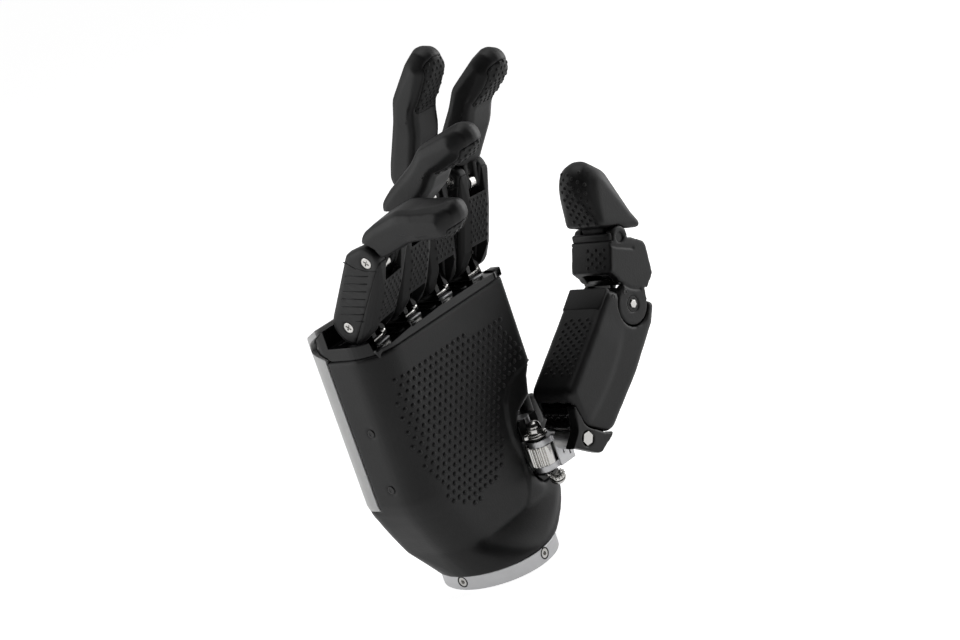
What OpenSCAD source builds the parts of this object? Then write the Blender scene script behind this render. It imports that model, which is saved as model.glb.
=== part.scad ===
// Five-finger robot hand, right hand, in millimetres.
// Origin: centre of the wrist flange's lower face. +Z runs to the fingers,
// the palm faces -Y and the thumb is on the +X side.

/* [Fingers] */
// Distance from one knuckle to the next
finger_pitch = 19.25; // [18.6:0.05:21]
// X of the index finger's knuckle
index_x = 32.3; // [30:0.1:34]
// Height of the middle finger's knuckle pivot above the flange
knuckle_z = 112; // [108:0.5:116]
// Knuckle pivot to middle pivot
link_len = 32; // [30:0.5:38]
// Width of the first link
link_w = 17.1; // [16.4:0.1:17.6]
// Radius of the first link's knuckle end
knuckle_r = 7.5; // [7.2:0.1:8]
// Radius of the first link around the middle pivot
middle_r = 5.6; // [5.4:0.1:6]
// Pivot line to the palm side of the first link
link_front = 9.2; // [8.8:0.1:9.6]
// Pivot line to the back of the first link
link_back = 8.8; // [8.4:0.1:9]
// Width of the fingertip link
tip_w = 15.4; // [14:0.1:16.4]
// Middle pivot to the end of the index fingertip
index_tip_len = 51; // [48:0.5:53]
// Middle pivot to the end of the middle fingertip
middle_tip_len = 54.5; // [50:0.5:56]
// Middle pivot to the end of the ring fingertip
ring_tip_len = 51; // [48:0.5:53]
// Middle pivot to the end of the little fingertip
little_tip_len = 43.5; // [42:0.5:48]
// How far the fingertip's centre lies behind the middle pivot
tip_set_back = 11; // [10.6:0.1:12]
// Half of the fingertip's thickness
tip_r = 5.9; // [5.6:0.1:6.2]

/* [Finger poses] */
// Flexion of the index finger's first link as stored, degrees
index_rest = 24; // [15:0.5:35]
// Flexion of the middle finger's first link as stored, degrees
middle_rest = 18.5; // [15:0.5:35]
// Flexion of the ring finger's first link as stored, degrees
ring_rest = 34; // [20:0.5:45]
// Flexion of the little finger's first link as stored, degrees
little_rest = 42; // [25:1:50]
// Middle pivot's turn for each degree at the knuckle
finger_ratio = 1.1; // [1.05:0.01:1.12]

/* [Finger linkage] */
// Radius of the pivot screws' shanks
pivot_r = 1.5; // [1.3:0.05:1.6]
// Radius of the pivot screws' heads
screw_head_r = 2; // [1.8:0.1:2.3]
// Depth of the pivot screws' heads
screw_head_h = 1.2; // [1:0.1:1.6]
// Thickness of one clevis ear
ear_t = 2; // [1.8:0.1:2.2]
// Width of the slot between two ears
ear_slot = 3.4; // [3.2:0.1:3.6]
// Width of the coupler link
coupler_w = 2.8; // [2.4:0.1:2.8]
// Radius of the coupler's pins
coupler_pin_r = 0.9; // [0.8:0.05:1]
// Knuckle pivot to the coupler's lower pin
coupler_low_r = 4.5; // [4.4:0.05:4.6]
// Middle pivot to the coupler's upper pin
coupler_high_r = 4; // [3.9:0.05:4.1]

/* [Palm] */
// Width of the palm
palm_w = 77; // [75:0.5:80]
// Distance of the palm's front face from the flange axis
palm_front = 12; // [11.6:0.1:12.6]
// Distance of the back of the hand from the flange axis
palm_back = 21.5; // [21:0.1:23]
// Height of the palm shell's upper rim
rim_z = 99; // [98:0.5:100]
// Height where the little-finger side starts to draw in
taper_z = 42; // [38:0.5:46]
// Height of the heel's crease
heel_z = 18; // [16:0.5:20]
// Radius of the long edge on the little-finger side
palm_edge_r = 13; // [10:0.5:14]
// Wall of the palm shell
shell_wall = 2.4; // [2:0.1:3]
// Wall of the white back cover
cover_wall = 2; // [1.6:0.1:2.4]
// Distance behind the flange axis where the back cover meets the shell
cover_split = 12.6; // [12:0.1:13.4]
// Height of the back cover's lower edge
cover_z = 40; // [38:0.5:43]

/* [Wrist] */
// Radius of the wrist flange
flange_r = 22.6; // [22:0.1:24]
// Height of the flange below the palm shell
flange_h = 5.5; // [5:0.1:7]
// Radius of the flange's spigot in the shell
spigot_r = 18; // [17.6:0.1:18.2]
// Height of the spigot
spigot_h = 2.8; // [2:0.1:3]
// Radius of the flange's cable bore
cable_bore_r = 9; // [8:0.5:10]
// Radius of the circle of mounting holes
bolt_circle_r = 15; // [14:0.5:16]
// Radius of a mounting hole, tapped M3
bolt_hole_r = 1.25; // [1.2:0.05:1.5]
// Depth of a mounting hole
bolt_hole_depth = 7; // [5:0.5:7.5]

/* [Thumb] */
// X of the thumb's turning axis
yaw_x = 21.9; // [21:0.1:23]
// Distance of the thumb's turning axis in front of the flange axis
yaw_front = 17; // [16.6:0.1:18]
// Thumb's turn from the side as stored, degrees
yaw_rest = 5; // [0:0.5:8]
// Turning axis to the thumb's base pivot
base_reach = 6.8; // [6.6:0.1:7.4]
// Height of the thumb's base pivot
base_z = 36.5; // [36:0.1:37.5]
// Turning axis to the thumb's middle plane
thumb_offset = 8.5; // [8:0.1:9]
// Width of the thumb
thumb_w = 21; // [20:0.1:21.6]
// Base pivot to the thumb's knuckle
thumb_link = 56.2; // [54:0.2:60]
// Elevation of the thumb's first link as stored, degrees
thumb_rise = 38; // [34:0.5:42]
// Thumb's knuckle to its tip pivot
thumb_mid = 25.8; // [25:0.1:28]
// Elevation of the thumb's middle link as stored, degrees
mid_rise = 81; // [78:0.5:84]
// Tip pivot to the end of the thumb
thumb_tip_len = 31; // [29:0.5:34]
// Radius of the thumb's pivot pins
thumb_pin_r = 2; // [1.8:0.05:2.2]

/* [Thumb drive] */
// Module of the thumb's gear teeth
gear_module = 0.5; // [0.48:0.01:0.52]
// Teeth of a full thumb gear
gear_teeth = 18; // [18:1:18]
// Teeth of the motor pinion
pinion_teeth = 10; // [10:1:10]
// Height of the gear
gear_h = 7.6; // [7:0.1:8]
// Radius of the thumb's turning shaft
yaw_shaft_r = 1.5; // [1.4:0.05:1.7]
// Direction of the pinion seen from the turning axis, degrees
pinion_dir = 70; // [66:1:74]

/* [Fits] */
// Radial clearance of a running pivot
run_gap = 0.05; // [0.03:0.01:0.08]
// Clearance of a fixed piece in its seat
seat_gap = 0.1; // [0.05:0.01:0.15]
// Side clearance between moving links
side_gap = 0.3; // [0.3:0.05:0.4]
// Gap around a link that swings inside another
swing_gap = 0.6; // [0.5:0.05:0.8]

/* [Hidden] */
FINGERS = ["index", "middle", "ring", "little"];
FINGER_PARTS = ["link_frame", "grip_cover", "pivot_screws", "coupler", "coupler_pin",
    "tip_shell", "tip_pad", "push_rod"];

$fn = 48;
hull_fn = 28;
overlap = 0.01;
big = 200;

BLACK = [0.07, 0.07, 0.075];
SATIN = [0.12, 0.12, 0.125];
WHITE = [0.86, 0.86, 0.85];
STEEL = [0.75, 0.76, 0.78];
ALLOY = [0.68, 0.69, 0.7];
GREEN = [0.05, 0.25, 0.15];

rest_pose = [index_rest, middle_rest, ring_rest, little_rest];
tip_len = [index_tip_len, middle_tip_len, ring_tip_len, little_tip_len];
fan = [2.5, 0, -3, -6];
knuckle_rise = [-0.4, 0.2, 0, -1];

// Coupler linkage: places are given as [towards the back, along the link]
coupler_low_dir = -98.5;
coupler_high_dir = 104.6;
coupler_low = coupler_low_r * [-sin(coupler_low_dir), cos(coupler_low_dir)];
coupler_high = coupler_high_r * [-sin(coupler_high_dir), cos(coupler_high_dir)];
coupler_len = link_len + 0.5;
coupler_lean = 15.9;
coupler_ratio = 0.8;
coupler_eye_r = 2.2;
coupler_open_eye_r = 2.9;
coupler_play = 0.75;

ear_out = ear_slot / 2 + ear_t;
slot_half = ear_out + side_gap;
split_y = -4.6;
shank_in = ear_slot / 2 + 0.2;
cradle_r = link_front + 0.8;

knuckle_top = rim_z + 4.8;
chassis_base = rim_z - 4;
cover_reach = rim_z + 21;
block_base = -15;
block_shoulder = -8.6;
block_front = -4.5;
block_back = 6;

// ---------- shared shapes ----------

// A side outline, drawn as [back, up], extruded across a finger's width
module across(w) {
    rotate([90, 0, 90])
        linear_extrude(w, center = true)
            children();
}

// A round bar across a finger
module cross_bar(r, w) {
    rotate([0, 90, 0])
        cylinder(r = r, h = w, center = true);
}

// A disc across X whose rims are rounded in two steps by edge
module soft_disc(r, w, edge, fn = hull_fn) {
    rotate([0, 90, 0]) {
        cylinder(r = r, h = w - 2 * edge, center = true, $fn = fn);
        cylinder(r = r - 0.3 * edge, h = w - 0.6 * edge, center = true, $fn = fn);
        cylinder(r = r - edge, h = w, center = true, $fn = fn);
    }
}

// The same disc, across Y for the thumb
module thumb_disc(r, w, edge, fn = hull_fn) {
    rotate([0, 0, 90])
        soft_disc(r, w, edge, fn);
}

// Children on the +X side and mirrored on the -X side
module both_sides() {
    children();
    mirror([1, 0, 0])
        children();
}

// ---------- where things are ----------

function knuckle_x(i) = index_x - i * finger_pitch;

// A finger's knuckle, upright, turned only by the fan of the hand
module at_knuckle(i) {
    translate([knuckle_x(i), 0, knuckle_z + knuckle_rise[i]])
        rotate([0, fan[i], 0])
            children();
}

module at_link(i) {
    at_knuckle(i)
        rotate([rest_pose[i], 0, 0])
            children();
}

module at_tip(i) {
    at_link(i)
        translate([0, 0, link_len])
            rotate([finger_ratio * rest_pose[i], 0, 0])
                children();
}

// The thumb's turning axis, x pointing out along the thumb, y towards the back
module at_yaw() {
    translate([yaw_x, -yaw_front, 0])
        rotate([0, 0, -yaw_rest])
            children();
}

// Thumb pivots: x runs along the link, z to its inner side, y = 0 is its middle
module at_thumb_link() {
    at_yaw()
        translate([base_reach, -thumb_offset, base_z])
            rotate([0, -thumb_rise, 0])
                children();
}

module at_thumb_mid() {
    at_thumb_link()
        translate([thumb_link, 0, 0])
            rotate([0, thumb_rise - mid_rise, 0])
                children();
}

module at_thumb_tip() {
    at_thumb_mid()
        translate([thumb_mid, 0, 0])
            rotate([0, mid_rise - 90, 0])
                children();
}

// ---------- fingers ----------

// Outside of the first link
module link_body() {
    hull() {
        soft_disc(knuckle_r, link_w, 1.6);
        translate([0, 0, link_len])
            soft_disc(middle_r, link_w, 1.2);
        translate([0, link_back - 2.4, link_len - 3.6])
            soft_disc(2.4, link_w, 1.6);
        translate([0, 4.4 - link_front, 5])
            soft_disc(4.4, link_w, 4);
        translate([0, 5 - link_front, link_len - 12])
            soft_disc(4.2, link_w, 4);
    }
}

// Room for the clevises and the coupler down the middle of the first link
module link_channel() {
    width = 2 * slot_half;
    inner_front = link_front - 2.3;
    translate([-slot_half, -inner_front, -big / 4])
        cube([width, inner_front + link_back - 1.9, big]);
    translate([-slot_half, -inner_front, 7.5 - big])
        cube([width, big, big]);
    translate([-slot_half, -inner_front, link_len - 8])
        cube([width, big, big]);
}

module pivot_seats() {
    for (z = [0, link_len])
        translate([0, 0, z]) {
            cross_bar(pivot_r + run_gap, link_w + 2);
            both_sides()
                translate([link_w / 2 - screw_head_h, 0, 0])
                    rotate([0, 90, 0])
                        cylinder(r = screw_head_r + seat_gap, h = screw_head_h + 1);
        }
}

rib_count = 7;
rib_step = 2.95;
rib_depth = 0.35;

// Fine grooves across each flank
module flank_grooves() {
    for (n = [0:rib_count - 1])
        both_sides()
            translate([link_w / 2 - rib_depth, -3.4, 5 + n * rib_step])
                cube([1, 8.6, 0.55]);
}

module link_frame(i) {
    color(BLACK)
        at_link(i)
            difference() {
                link_body();
                link_channel();
                pivot_seats();
                flank_grooves();
                translate([-big / 2, split_y - big, -big / 2])
                    cube(big);
            }
}

notch_half = slot_half + 0.6;

// Dimpled palm side of the first link, notched for the clevises at both ends
module grip_cover(i) {
    color(SATIN)
        at_link(i)
            difference() {
                link_body();
                link_channel();
                translate([-big / 2, split_y, -big / 2])
                    cube(big);
                translate([-notch_half, -big / 2, 7 - big])
                    cube([2 * notch_half, big, big]);
                translate([-notch_half, -big / 2, link_len - 5.5])
                    cube([2 * notch_half, big, big]);
            }
}

module cross_recess(r) {
    for (a = [0, 90])
        rotate([0, 0, a])
            translate([-r, -0.25, 0])
                cube([2 * r, 0.5, 1]);
}

module pivot_screw() {
    rotate([0, 90, 0])
        difference() {
            union() {
                translate([0, 0, shank_in])
                    cylinder(r = pivot_r, h = link_w / 2 - screw_head_h - shank_in + overlap);
                translate([0, 0, link_w / 2 - screw_head_h])
                    cylinder(r = screw_head_r, h = screw_head_h - 0.1);
            }
            translate([0, 0, link_w / 2 - 0.6])
                cross_recess(1.2);
        }
}

module pivot_screws(i) {
    color(STEEL)
        at_link(i)
            for (z = [0, link_len])
                translate([0, 0, z])
                    both_sides()
                        pivot_screw();
}

// Two ears of a clevis: the slot between them is ear_slot wide
module ears() {
    both_sides()
        translate([ear_slot / 2 + ear_t / 2, 0, 0])
            across(ear_t)
                children();
}

module at_coupler(i) {
    at_knuckle(i)
        translate([0, coupler_low[0], coupler_low[1]])
            rotate([coupler_lean + coupler_ratio * rest_pose[i], 0, 0])
                children();
}

// Flat link from the palm to the fingertip; its upper eye is loose
module coupler(i) {
    color(STEEL)
        at_coupler(i)
            difference() {
                union() {
                    cross_bar(coupler_eye_r, coupler_w);
                    translate([0, 0, coupler_len])
                        cross_bar(coupler_open_eye_r, coupler_w);
                    translate([-coupler_w / 2, -1.6, 0])
                        cube([coupler_w, 3.2, coupler_len]);
                }
                cross_bar(coupler_pin_r + run_gap, coupler_w + 1);
                translate([0, 0, coupler_len])
                    cross_bar(coupler_pin_r + coupler_play, coupler_w + 1);
            }
}

module coupler_pin(i) {
    color(STEEL)
        at_tip(i)
            translate([0, coupler_high[0], coupler_high[1]])
                cross_bar(coupler_pin_r, 2 * ear_out);
}

// Outside of the fingertip link: a segment that leans back, then the tip
module tip_body(len) {
    bend_z = 0.46 * len;
    hull() {
        translate([0, 5.2, 5.4])
            soft_disc(5.7, tip_w, 2.4);
        translate([0, tip_set_back, bend_z])
            soft_disc(tip_r, tip_w, 3.2);
    }
    hull() {
        translate([0, tip_set_back, bend_z])
            soft_disc(tip_r, tip_w, 3.2);
        translate([0, tip_set_back - 0.4, len - 10])
            soft_disc(tip_r, tip_w - 0.4, 4.6);
        translate([0, tip_set_back + 0.4, len - 5])
            soft_disc(5, tip_w - 4, 4.6);
    }
}

pad_half = 5.7;
pad_depth = 3.2;

// Space of the soft pad on the fingertip's palm side
module pad_space(len) {
    front = tip_set_back - tip_r;
    translate([-pad_half, front - 2, 0.45 * len])
        cube([2 * pad_half, pad_depth + 2, big]);
}

module tip_shell(i) {
    color(BLACK)
        at_tip(i)
            difference() {
                union() {
                    difference() {
                        tip_body(tip_len[i]);
                        cross_bar(middle_r + 2 * swing_gap, big);
                        pad_space(tip_len[i]);
                    }
                    ears()
                        hull() {
                            circle(r = 3.5, $fn = hull_fn);
                            translate(coupler_high)
                                circle(r = coupler_eye_r, $fn = hull_fn);
                            translate([5.2, 8])
                                circle(r = 3.2, $fn = hull_fn);
                        }
                }
                cross_bar(pivot_r + run_gap, big);
                translate([0, coupler_high[0], coupler_high[1]])
                    cross_bar(coupler_pin_r, big);
            }
}

module tip_pad(i) {
    color(SATIN)
        at_tip(i)
            intersection() {
                tip_body(tip_len[i]);
                pad_space(tip_len[i]);
            }
}

rod_r = 1.4;
actuator_squeeze = 0.81;
rod_y = 13;
rod_low_z = 74;
rod_high_z = 90;

// Output rod of a finger's actuator
module push_rod(i) {
    color(STEEL)
        translate([knuckle_x(i) * actuator_squeeze, rod_y, rod_low_z]) {
            cylinder(r = rod_r, h = rod_high_z - rod_low_z - 6);
            translate([0, 0, rod_high_z - rod_low_z - 6 - overlap])
                cylinder(r = 2.4, h = 3);
        }
}

// ---------- palm ----------

palm_mid_x = 0.5;
palm_left = palm_mid_x - palm_w / 2;
palm_right = palm_mid_x + palm_w / 2;

// A level slice of the palm, drawn in by inset on the side faces
module palm_slice(left, right, front, back, edge, h) {
    translate([left + edge, edge - front, 0])
        cylinder(r = edge, h = h, $fn = 40);
    translate([right - 4, 4 - front, 0])
        cylinder(r = 4, h = h, $fn = hull_fn);
    translate([left + 6, back - 6, 0])
        cylinder(r = 6, h = h, $fn = hull_fn);
    translate([right - 6, back - 6, 0])
        cylinder(r = 6, h = h, $fn = hull_fn);
}

heel_steps = [0, 0.17, 0.36, 0.56, 0.78];
draw_steps = [0, 0.17, 0.36, 0.6, 0.82];
corner_steps = 8;

// Share of the turn from the palm's outline to the wrist's circle: little side, thumb side, front to back
function heel_drop(z) = z < heel_z ? (heel_z - z) / (heel_z - flange_h) : 0;
function heel_turn_y(z) = 0.7 * heel_drop(z) + 0.3 * sin(90 * heel_drop(z));
function heel_turn_x(z, side) = pow(heel_drop(z), side);

// How far the flanks have drawn in below the straight part
function side_draw(z) = z > taper_z ? 0 : z < heel_z ? 1 : pow((taper_z - z) / (taper_z - heel_z), 1.25);

// Corners of the outline in the order of their angle: [x, y, radius]
function palm_corners(inset, z) =
    let (left = palm_left + inset + 9.5 * side_draw(z),
         right = palm_right - inset - 4.5 * side_draw(z),
         front = palm_front - inset,
         back = palm_back - inset - 1.5 * side_draw(z),
         edge = palm_edge_r - inset)
    [[right - 6, back - 6, 6], [left + 6, back - 6, 6],
     [left + edge, edge - front, edge], [right - 4, 4 - front, 4]];

function palm_outline(inset, z) =
    let (wrist = flange_r + 1 - inset,
         corners = palm_corners(inset, z))
    [for (q = [0:3]) for (k = [0:corner_steps])
        let (a = 90 * (q + k / corner_steps),
             tx = heel_turn_x(z, q == 1 || q == 2 ? 1 : 1.3),
             ty = heel_turn_y(z),
             c = corners[q])
        [(1 - tx) * (c[0] + c[2] * cos(a)) + tx * wrist * cos(a),
         (1 - ty) * (c[1] + c[2] * sin(a)) + ty * wrist * sin(a), z]];

// Outside of the palm, or its hollow when inset is the wall
module palm_body(inset, top) {
    levels = concat(
        [for (u = heel_steps) flange_h + u * (heel_z - flange_h)],
        [for (u = draw_steps) heel_z + u * (taper_z - heel_z)],
        [taper_z, top]);
    n = 4 * (corner_steps + 1);
    polyhedron(
        points = [for (z = levels) each palm_outline(inset, z)],
        faces = concat(
            [[for (k = [0:n - 1]) k]],
            [for (m = [0:len(levels) - 2]) for (k = [0:n - 1]) for (half = [0, 1])
                let (a = m * n + k, b = m * n + (k + 1) % n)
                half == 0 ? [a, a + n, b] : [b, a + n, b + n]],
            [[for (k = [n - 1:-1:0]) (len(levels) - 1) * n + k]]),
        convexity = 4);
}

// Outline of the recess that holds the thumb's drive, as [X, Z]
module thumb_recess_outline() {
    polygon([[60, 64.5], [35.5, 64.5], [32.5, 61], [30, 54], [21.5, 50.5], [18.2, 46], [18.2, 31],
        [20.5, 25], [24, 20.5], [36, 20.5], [60, 24]]);
}

recess_depth_y = 3;

module thumb_recess(grow) {
    translate([0, recess_depth_y + grow, 0])
        rotate([90, 0, 0])
            linear_extrude(60)
                offset(delta = grow)
                    thumb_recess_outline();
}

side_screw_r = 1.1;
side_screw_y = 3;
side_screw_len = shell_wall + 2.4;
side_screws = [[-1, 48.6], [-1, 70.9], [1, 70.9], [1, 88]];

// Axes of the screws in the palm's flanks, x = 0 on the outside
module at_side_screws() {
    for (s = side_screws)
        translate([palm_mid_x + s[0] * palm_w / 2, side_screw_y, s[1]])
            mirror([s[0] > 0 ? 1 : 0, 0, 0])
                children();
}

// Space taken by the back cover, grown by gap
module cover_space(gap) {
    translate([-big / 2, cover_split - gap, cover_z - gap])
        cube([big, big, big]);
}

module palm_shell() {
    color(BLACK)
        difference() {
            palm_body(0, rim_z);
            difference() {
                palm_body(shell_wall, rim_z + 1);
                thumb_recess(shell_wall);
                translate([-big / 2, -big / 2, -big + flange_h + 3])
                    cube(big);
            }
            cylinder(r = spigot_r + seat_gap, h = 2 * (flange_h + spigot_h), center = true);
            thumb_recess(0);
            cover_space(0);
            at_side_screws()
                cross_bar(side_screw_r + seat_gap, 2 * side_screw_len);
        }
}

hood_edge = 10.2;

// Side outline of the back cover, as [back, up]
module cover_outline(inset) {
    polygon([[cover_split - 20, cover_z - 20], [palm_back + 20, cover_z - 20],
        [palm_back - inset, 103.9 - 0.4 * inset], [palm_back - 3.4 - 0.6 * inset, 109 - inset],
        [hood_edge, 112.8 - inset], [hood_edge, rim_z + 3], [hood_edge - 4, rim_z + 3],
        [hood_edge - 4, rim_z - 20], [cover_split - 20, cover_z]]);
}

wedge_slope = 0.48;

// Everything below the line where the chassis shows beside the cover
module below_wedge(gap) {
    reach = palm_back + 10;
    across(big)
        polygon([[-reach, 0], [-reach, rim_z + gap], [hood_edge, rim_z + gap],
            [reach, rim_z + gap + wedge_slope * (reach - hood_edge)], [reach, 0]]);
}

module back_cover() {
    color(WHITE)
        difference() {
            intersection() {
                palm_body(0, cover_reach);
                cover_space(0);
                across(big)
                    cover_outline(0);
            }
            intersection() {
                palm_body(cover_wall, cover_reach + 1);
                across(big)
                    cover_outline(cover_wall);
                translate([-big / 2, -big / 2, cover_z + cover_wall])
                    cube(big);
            }
            difference() {
                across(big)
                    cover_outline(cover_wall);
                below_wedge(0);
            }
        }
}

// Block under a knuckle with two ears, drawn upright at the knuckle
module block_shape(gap) {
    translate([-ear_out - gap, block_front - gap, block_base - gap])
        cube([2 * (ear_out + gap), block_back - block_front + 2 * gap,
            block_shoulder - block_base + 2 * gap]);
}

module knuckle_block() {
    difference() {
        union() {
            block_shape(0);
            ears()
                hull() {
                    circle(r = 3.5, $fn = hull_fn);
                    translate(coupler_low)
                        circle(r = coupler_eye_r, $fn = hull_fn);
                    translate([block_front, block_shoulder - 1])
                        square([block_back - block_front, 1]);
                }
        }
        cross_bar(pivot_r + run_gap, big);
        translate([0, coupler_low[0], coupler_low[1]])
            cross_bar(coupler_pin_r, big);
    }
}

module knuckle_blocks() {
    color(ALLOY)
        for (i = [0:3])
            at_knuckle(i)
                knuckle_block();
}

module coupler_ground_pins() {
    color(STEEL)
        for (i = [0:3])
            at_knuckle(i)
                translate([0, coupler_low[0], coupler_low[1]])
                    cross_bar(coupler_pin_r, 2 * ear_out);
}

// Chassis that carries the knuckles: a strip in front, a raised back
module knuckle_chassis() {
    inset = 0.9;
    color(BLACK)
        difference() {
            intersection() {
                hull()
                    palm_slice(palm_left + inset, palm_right - inset, palm_front - inset,
                        palm_back - cover_wall - 0.1, palm_edge_r - inset, 130);
                across(big)
                    union() {
                        polygon([[-palm_front, chassis_base], [hood_edge, chassis_base],
                            [hood_edge, knuckle_top], [-palm_front, knuckle_top]]);
                        intersection() {
                            cover_outline(cover_wall + seat_gap);
                            polygon([[0, chassis_base], [big, chassis_base], [big, big], [0, big]]);
                        }
                    }
            }
            // ledge that the shell's rim and the cover stand round
            difference() {
                below_wedge(seat_gap);
                hull()
                    translate([0, 0, chassis_base - 2])
                        palm_slice(palm_left + shell_wall + seat_gap,
                            palm_right - shell_wall - seat_gap,
                            palm_front - shell_wall - seat_gap,
                            palm_back - shell_wall - seat_gap,
                            palm_edge_r - shell_wall - seat_gap, 10);
            }
            for (i = [0:3])
                at_knuckle(i) {
                    cross_bar(cradle_r, link_w + 2 * swing_gap);
                    translate([-link_w / 2 - swing_gap, -40, -cradle_r])
                        cube([link_w + 2 * swing_gap, 40, 30]);
                    translate([-ear_out - seat_gap, block_front - seat_gap, block_base])
                        cube([2 * (ear_out + seat_gap), block_back - block_front + 2 * seat_gap, 30]);
                }
        }
}

actuator_w = 14;
actuator_d = 12.4;
actuator_z = 43;
actuator_h = 36;

// Linear actuators of the four fingers, side by side in the palm
module finger_actuators() {
    color(ALLOY)
        for (i = [0:3])
            translate([knuckle_x(i) * actuator_squeeze, rod_y, 0])
                difference() {
                    translate([-actuator_w / 2, -actuator_d / 2, actuator_z])
                        cube([actuator_w, actuator_d, actuator_h]);
                    translate([0, 0, actuator_z + 12])
                        cylinder(r = rod_r + run_gap, h = actuator_h);
                }
}

// Board that drives the motors, behind the palm's front wall
module control_board() {
    board_t = 1.6;
    board_y = shell_wall + 0.3 - palm_front;
    color(GREEN)
        translate([-22, board_y, 30])
            cube([34, board_t, 56]);
    color(BLACK)
        for (z = [40, 58, 74])
            translate([-12, board_y + board_t - overlap, z])
                cube([9, 1.4, 9]);
}

module cover_screws() {
    color(BLACK)
        at_side_screws()
            translate([0.7 + side_screw_len / 2, 0, 0])
                cross_bar(side_screw_r, side_screw_len);
}

// ---------- wrist ----------

flange_screw_count = 4;
flange_screw_z = 0.6 * flange_h;
flange_screw_r = 1.5;
flange_head_r = 1.9;

module around_flange(r, z) {
    for (n = [0:flange_screw_count - 1])
        rotate([0, 0, n * 360 / flange_screw_count])
            translate([r, 0, z])
                rotate([0, 90, 0])
                    children();
}

module wrist_flange() {
    color(ALLOY)
        difference() {
            union() {
                cylinder(r = flange_r, h = flange_h, $fn = 96);
                cylinder(r = spigot_r, h = flange_h + spigot_h, $fn = 96);
            }
            translate([0, 0, -1])
                cylinder(r = cable_bore_r, h = flange_h + spigot_h + 2);
            for (a = [0:90:270])
                rotate([0, 0, a])
                    translate([bolt_circle_r, 0, -1])
                        cylinder(r = bolt_hole_r, h = bolt_hole_depth + 1);
            around_flange(flange_r - 4, flange_screw_z)
                cylinder(r = flange_screw_r, h = 10);
            around_flange(flange_r - 1.2, flange_screw_z)
                cylinder(r = flange_head_r + seat_gap, h = 5);
        }
}

module flange_screws() {
    color(STEEL)
        around_flange(flange_r - 4, flange_screw_z)
            difference() {
                union() {
                    cylinder(r = flange_screw_r - seat_gap, h = 3.4);
                    translate([0, 0, 2.8])
                        cylinder(r = flange_head_r, h = 1.1);
                }
                translate([0, 0, 2.9])
                    cylinder(r = 0.9, h = 3, $fn = 6);
            }
}

// Round socket for power and data in the flange's bore
module wrist_connector() {
    color(BLACK)
        difference() {
            translate([0, 0, 2])
                cylinder(r = cable_bore_r - 0.3, h = flange_h + spigot_h - 2);
            translate([0, 0, -1])
                cylinder(r = cable_bore_r - 2, h = 8);
        }
    color(STEEL)
        for (n = [0:7])
            rotate([0, 0, n * 45])
                translate([4.2, 0, 3.4])
                    cylinder(r = 0.5, h = 4, $fn = 16);
}

// ---------- thumb drive ----------

gear_r = gear_module * gear_teeth / 2;
pinion_r = gear_module * pinion_teeth / 2;
gear_mid_z = base_z - 3.2;
tooth_out = 0.8 * gear_module;
tooth_in = 1.05 * gear_module;
backlash = 0.12;
gear_low = gear_mid_z - gear_h / 2;
gear_top = gear_mid_z + gear_h / 2;
gear_shaft_dist = gear_r + pinion_r + 0.05;

function involute_angle(base, r) = r <= base ? 0 : sqrt(pow(r / base, 2) - 1) * 180 / PI - acos(base / r);

// One flank of a tooth: angle from its middle at radius r
function flank_angle(pitch, teeth, r) =
    let (base = pitch * cos(25),
         half = 90 / teeth - backlash / 2 / pitch * 180 / PI,
         at_pitch = involute_angle(base, pitch))
    half + at_pitch - involute_angle(base, r);

tooth_steps = 3;

function tooth_points(pitch, teeth, mid) =
    let (low = pitch - tooth_in, high = pitch + tooth_out)
    concat(
        [for (k = [0:tooth_steps])
            let (r = low + (high - low) * k / tooth_steps, a = mid - flank_angle(pitch, teeth, r))
            r * [cos(a), sin(a)]],
        [for (k = [tooth_steps:-1:0])
            let (r = low + (high - low) * k / tooth_steps, a = mid + flank_angle(pitch, teeth, r))
            r * [cos(a), sin(a)]]);

function gear_points(pitch, teeth, first, last, start) =
    [for (n = [first:last]) for (p = tooth_points(pitch, teeth, start + n * 360 / teeth)) p];

module pinion_place() {
    translate([yaw_x, -yaw_front, 0])
        rotate([0, 0, pinion_dir])
            translate([gear_shaft_dist, 0, 0])
                children();
}

// Gear that turns the thumb; the side away from the pinion is a plain hub
module thumb_gear() {
    color(STEEL)
        translate([yaw_x, -yaw_front, gear_low])
            difference() {
                rotate([0, 0, pinion_dir])
                    linear_extrude(gear_h)
                        polygon(concat(
                            gear_points(gear_r, gear_teeth, -1, 8, 0),
                            [for (a = [172:4:328]) gear_r * [cos(a), sin(a)]]));
                translate([0, 0, -1])
                    cylinder(r = yaw_shaft_r + run_gap, h = gear_h + 2);
            }
}

pinion_shaft_r = 0.9;

module thumb_pinion() {
    color(STEEL)
        pinion_place() {
            translate([0, 0, gear_low])
                rotate([0, 0, 180 + 180 / pinion_teeth])
                    linear_extrude(gear_h)
                        polygon(gear_points(pinion_r, pinion_teeth, 0, pinion_teeth - 1, 0));
            translate([0, 0, gear_low])
                cylinder(r = pinion_shaft_r, h = motor_low + 2 - gear_low);
        }
}

motor_r = 3;
motor_h = 7.6;

module thumb_motor() {
    color(ALLOY)
        pinion_place()
            difference() {
                translate([0, 0, motor_low])
                    cylinder(r = motor_r, h = motor_h);
                translate([0, 0, motor_low - 1])
                    cylinder(r = pinion_shaft_r + run_gap, h = 3.2);
            }
}

bracket_low = gear_low - 2.4;
bracket_top = gear_top + 2.4;
lug_t = 2.2;
motor_low = bracket_top + 0.4;
housing_front = 12;

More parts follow.
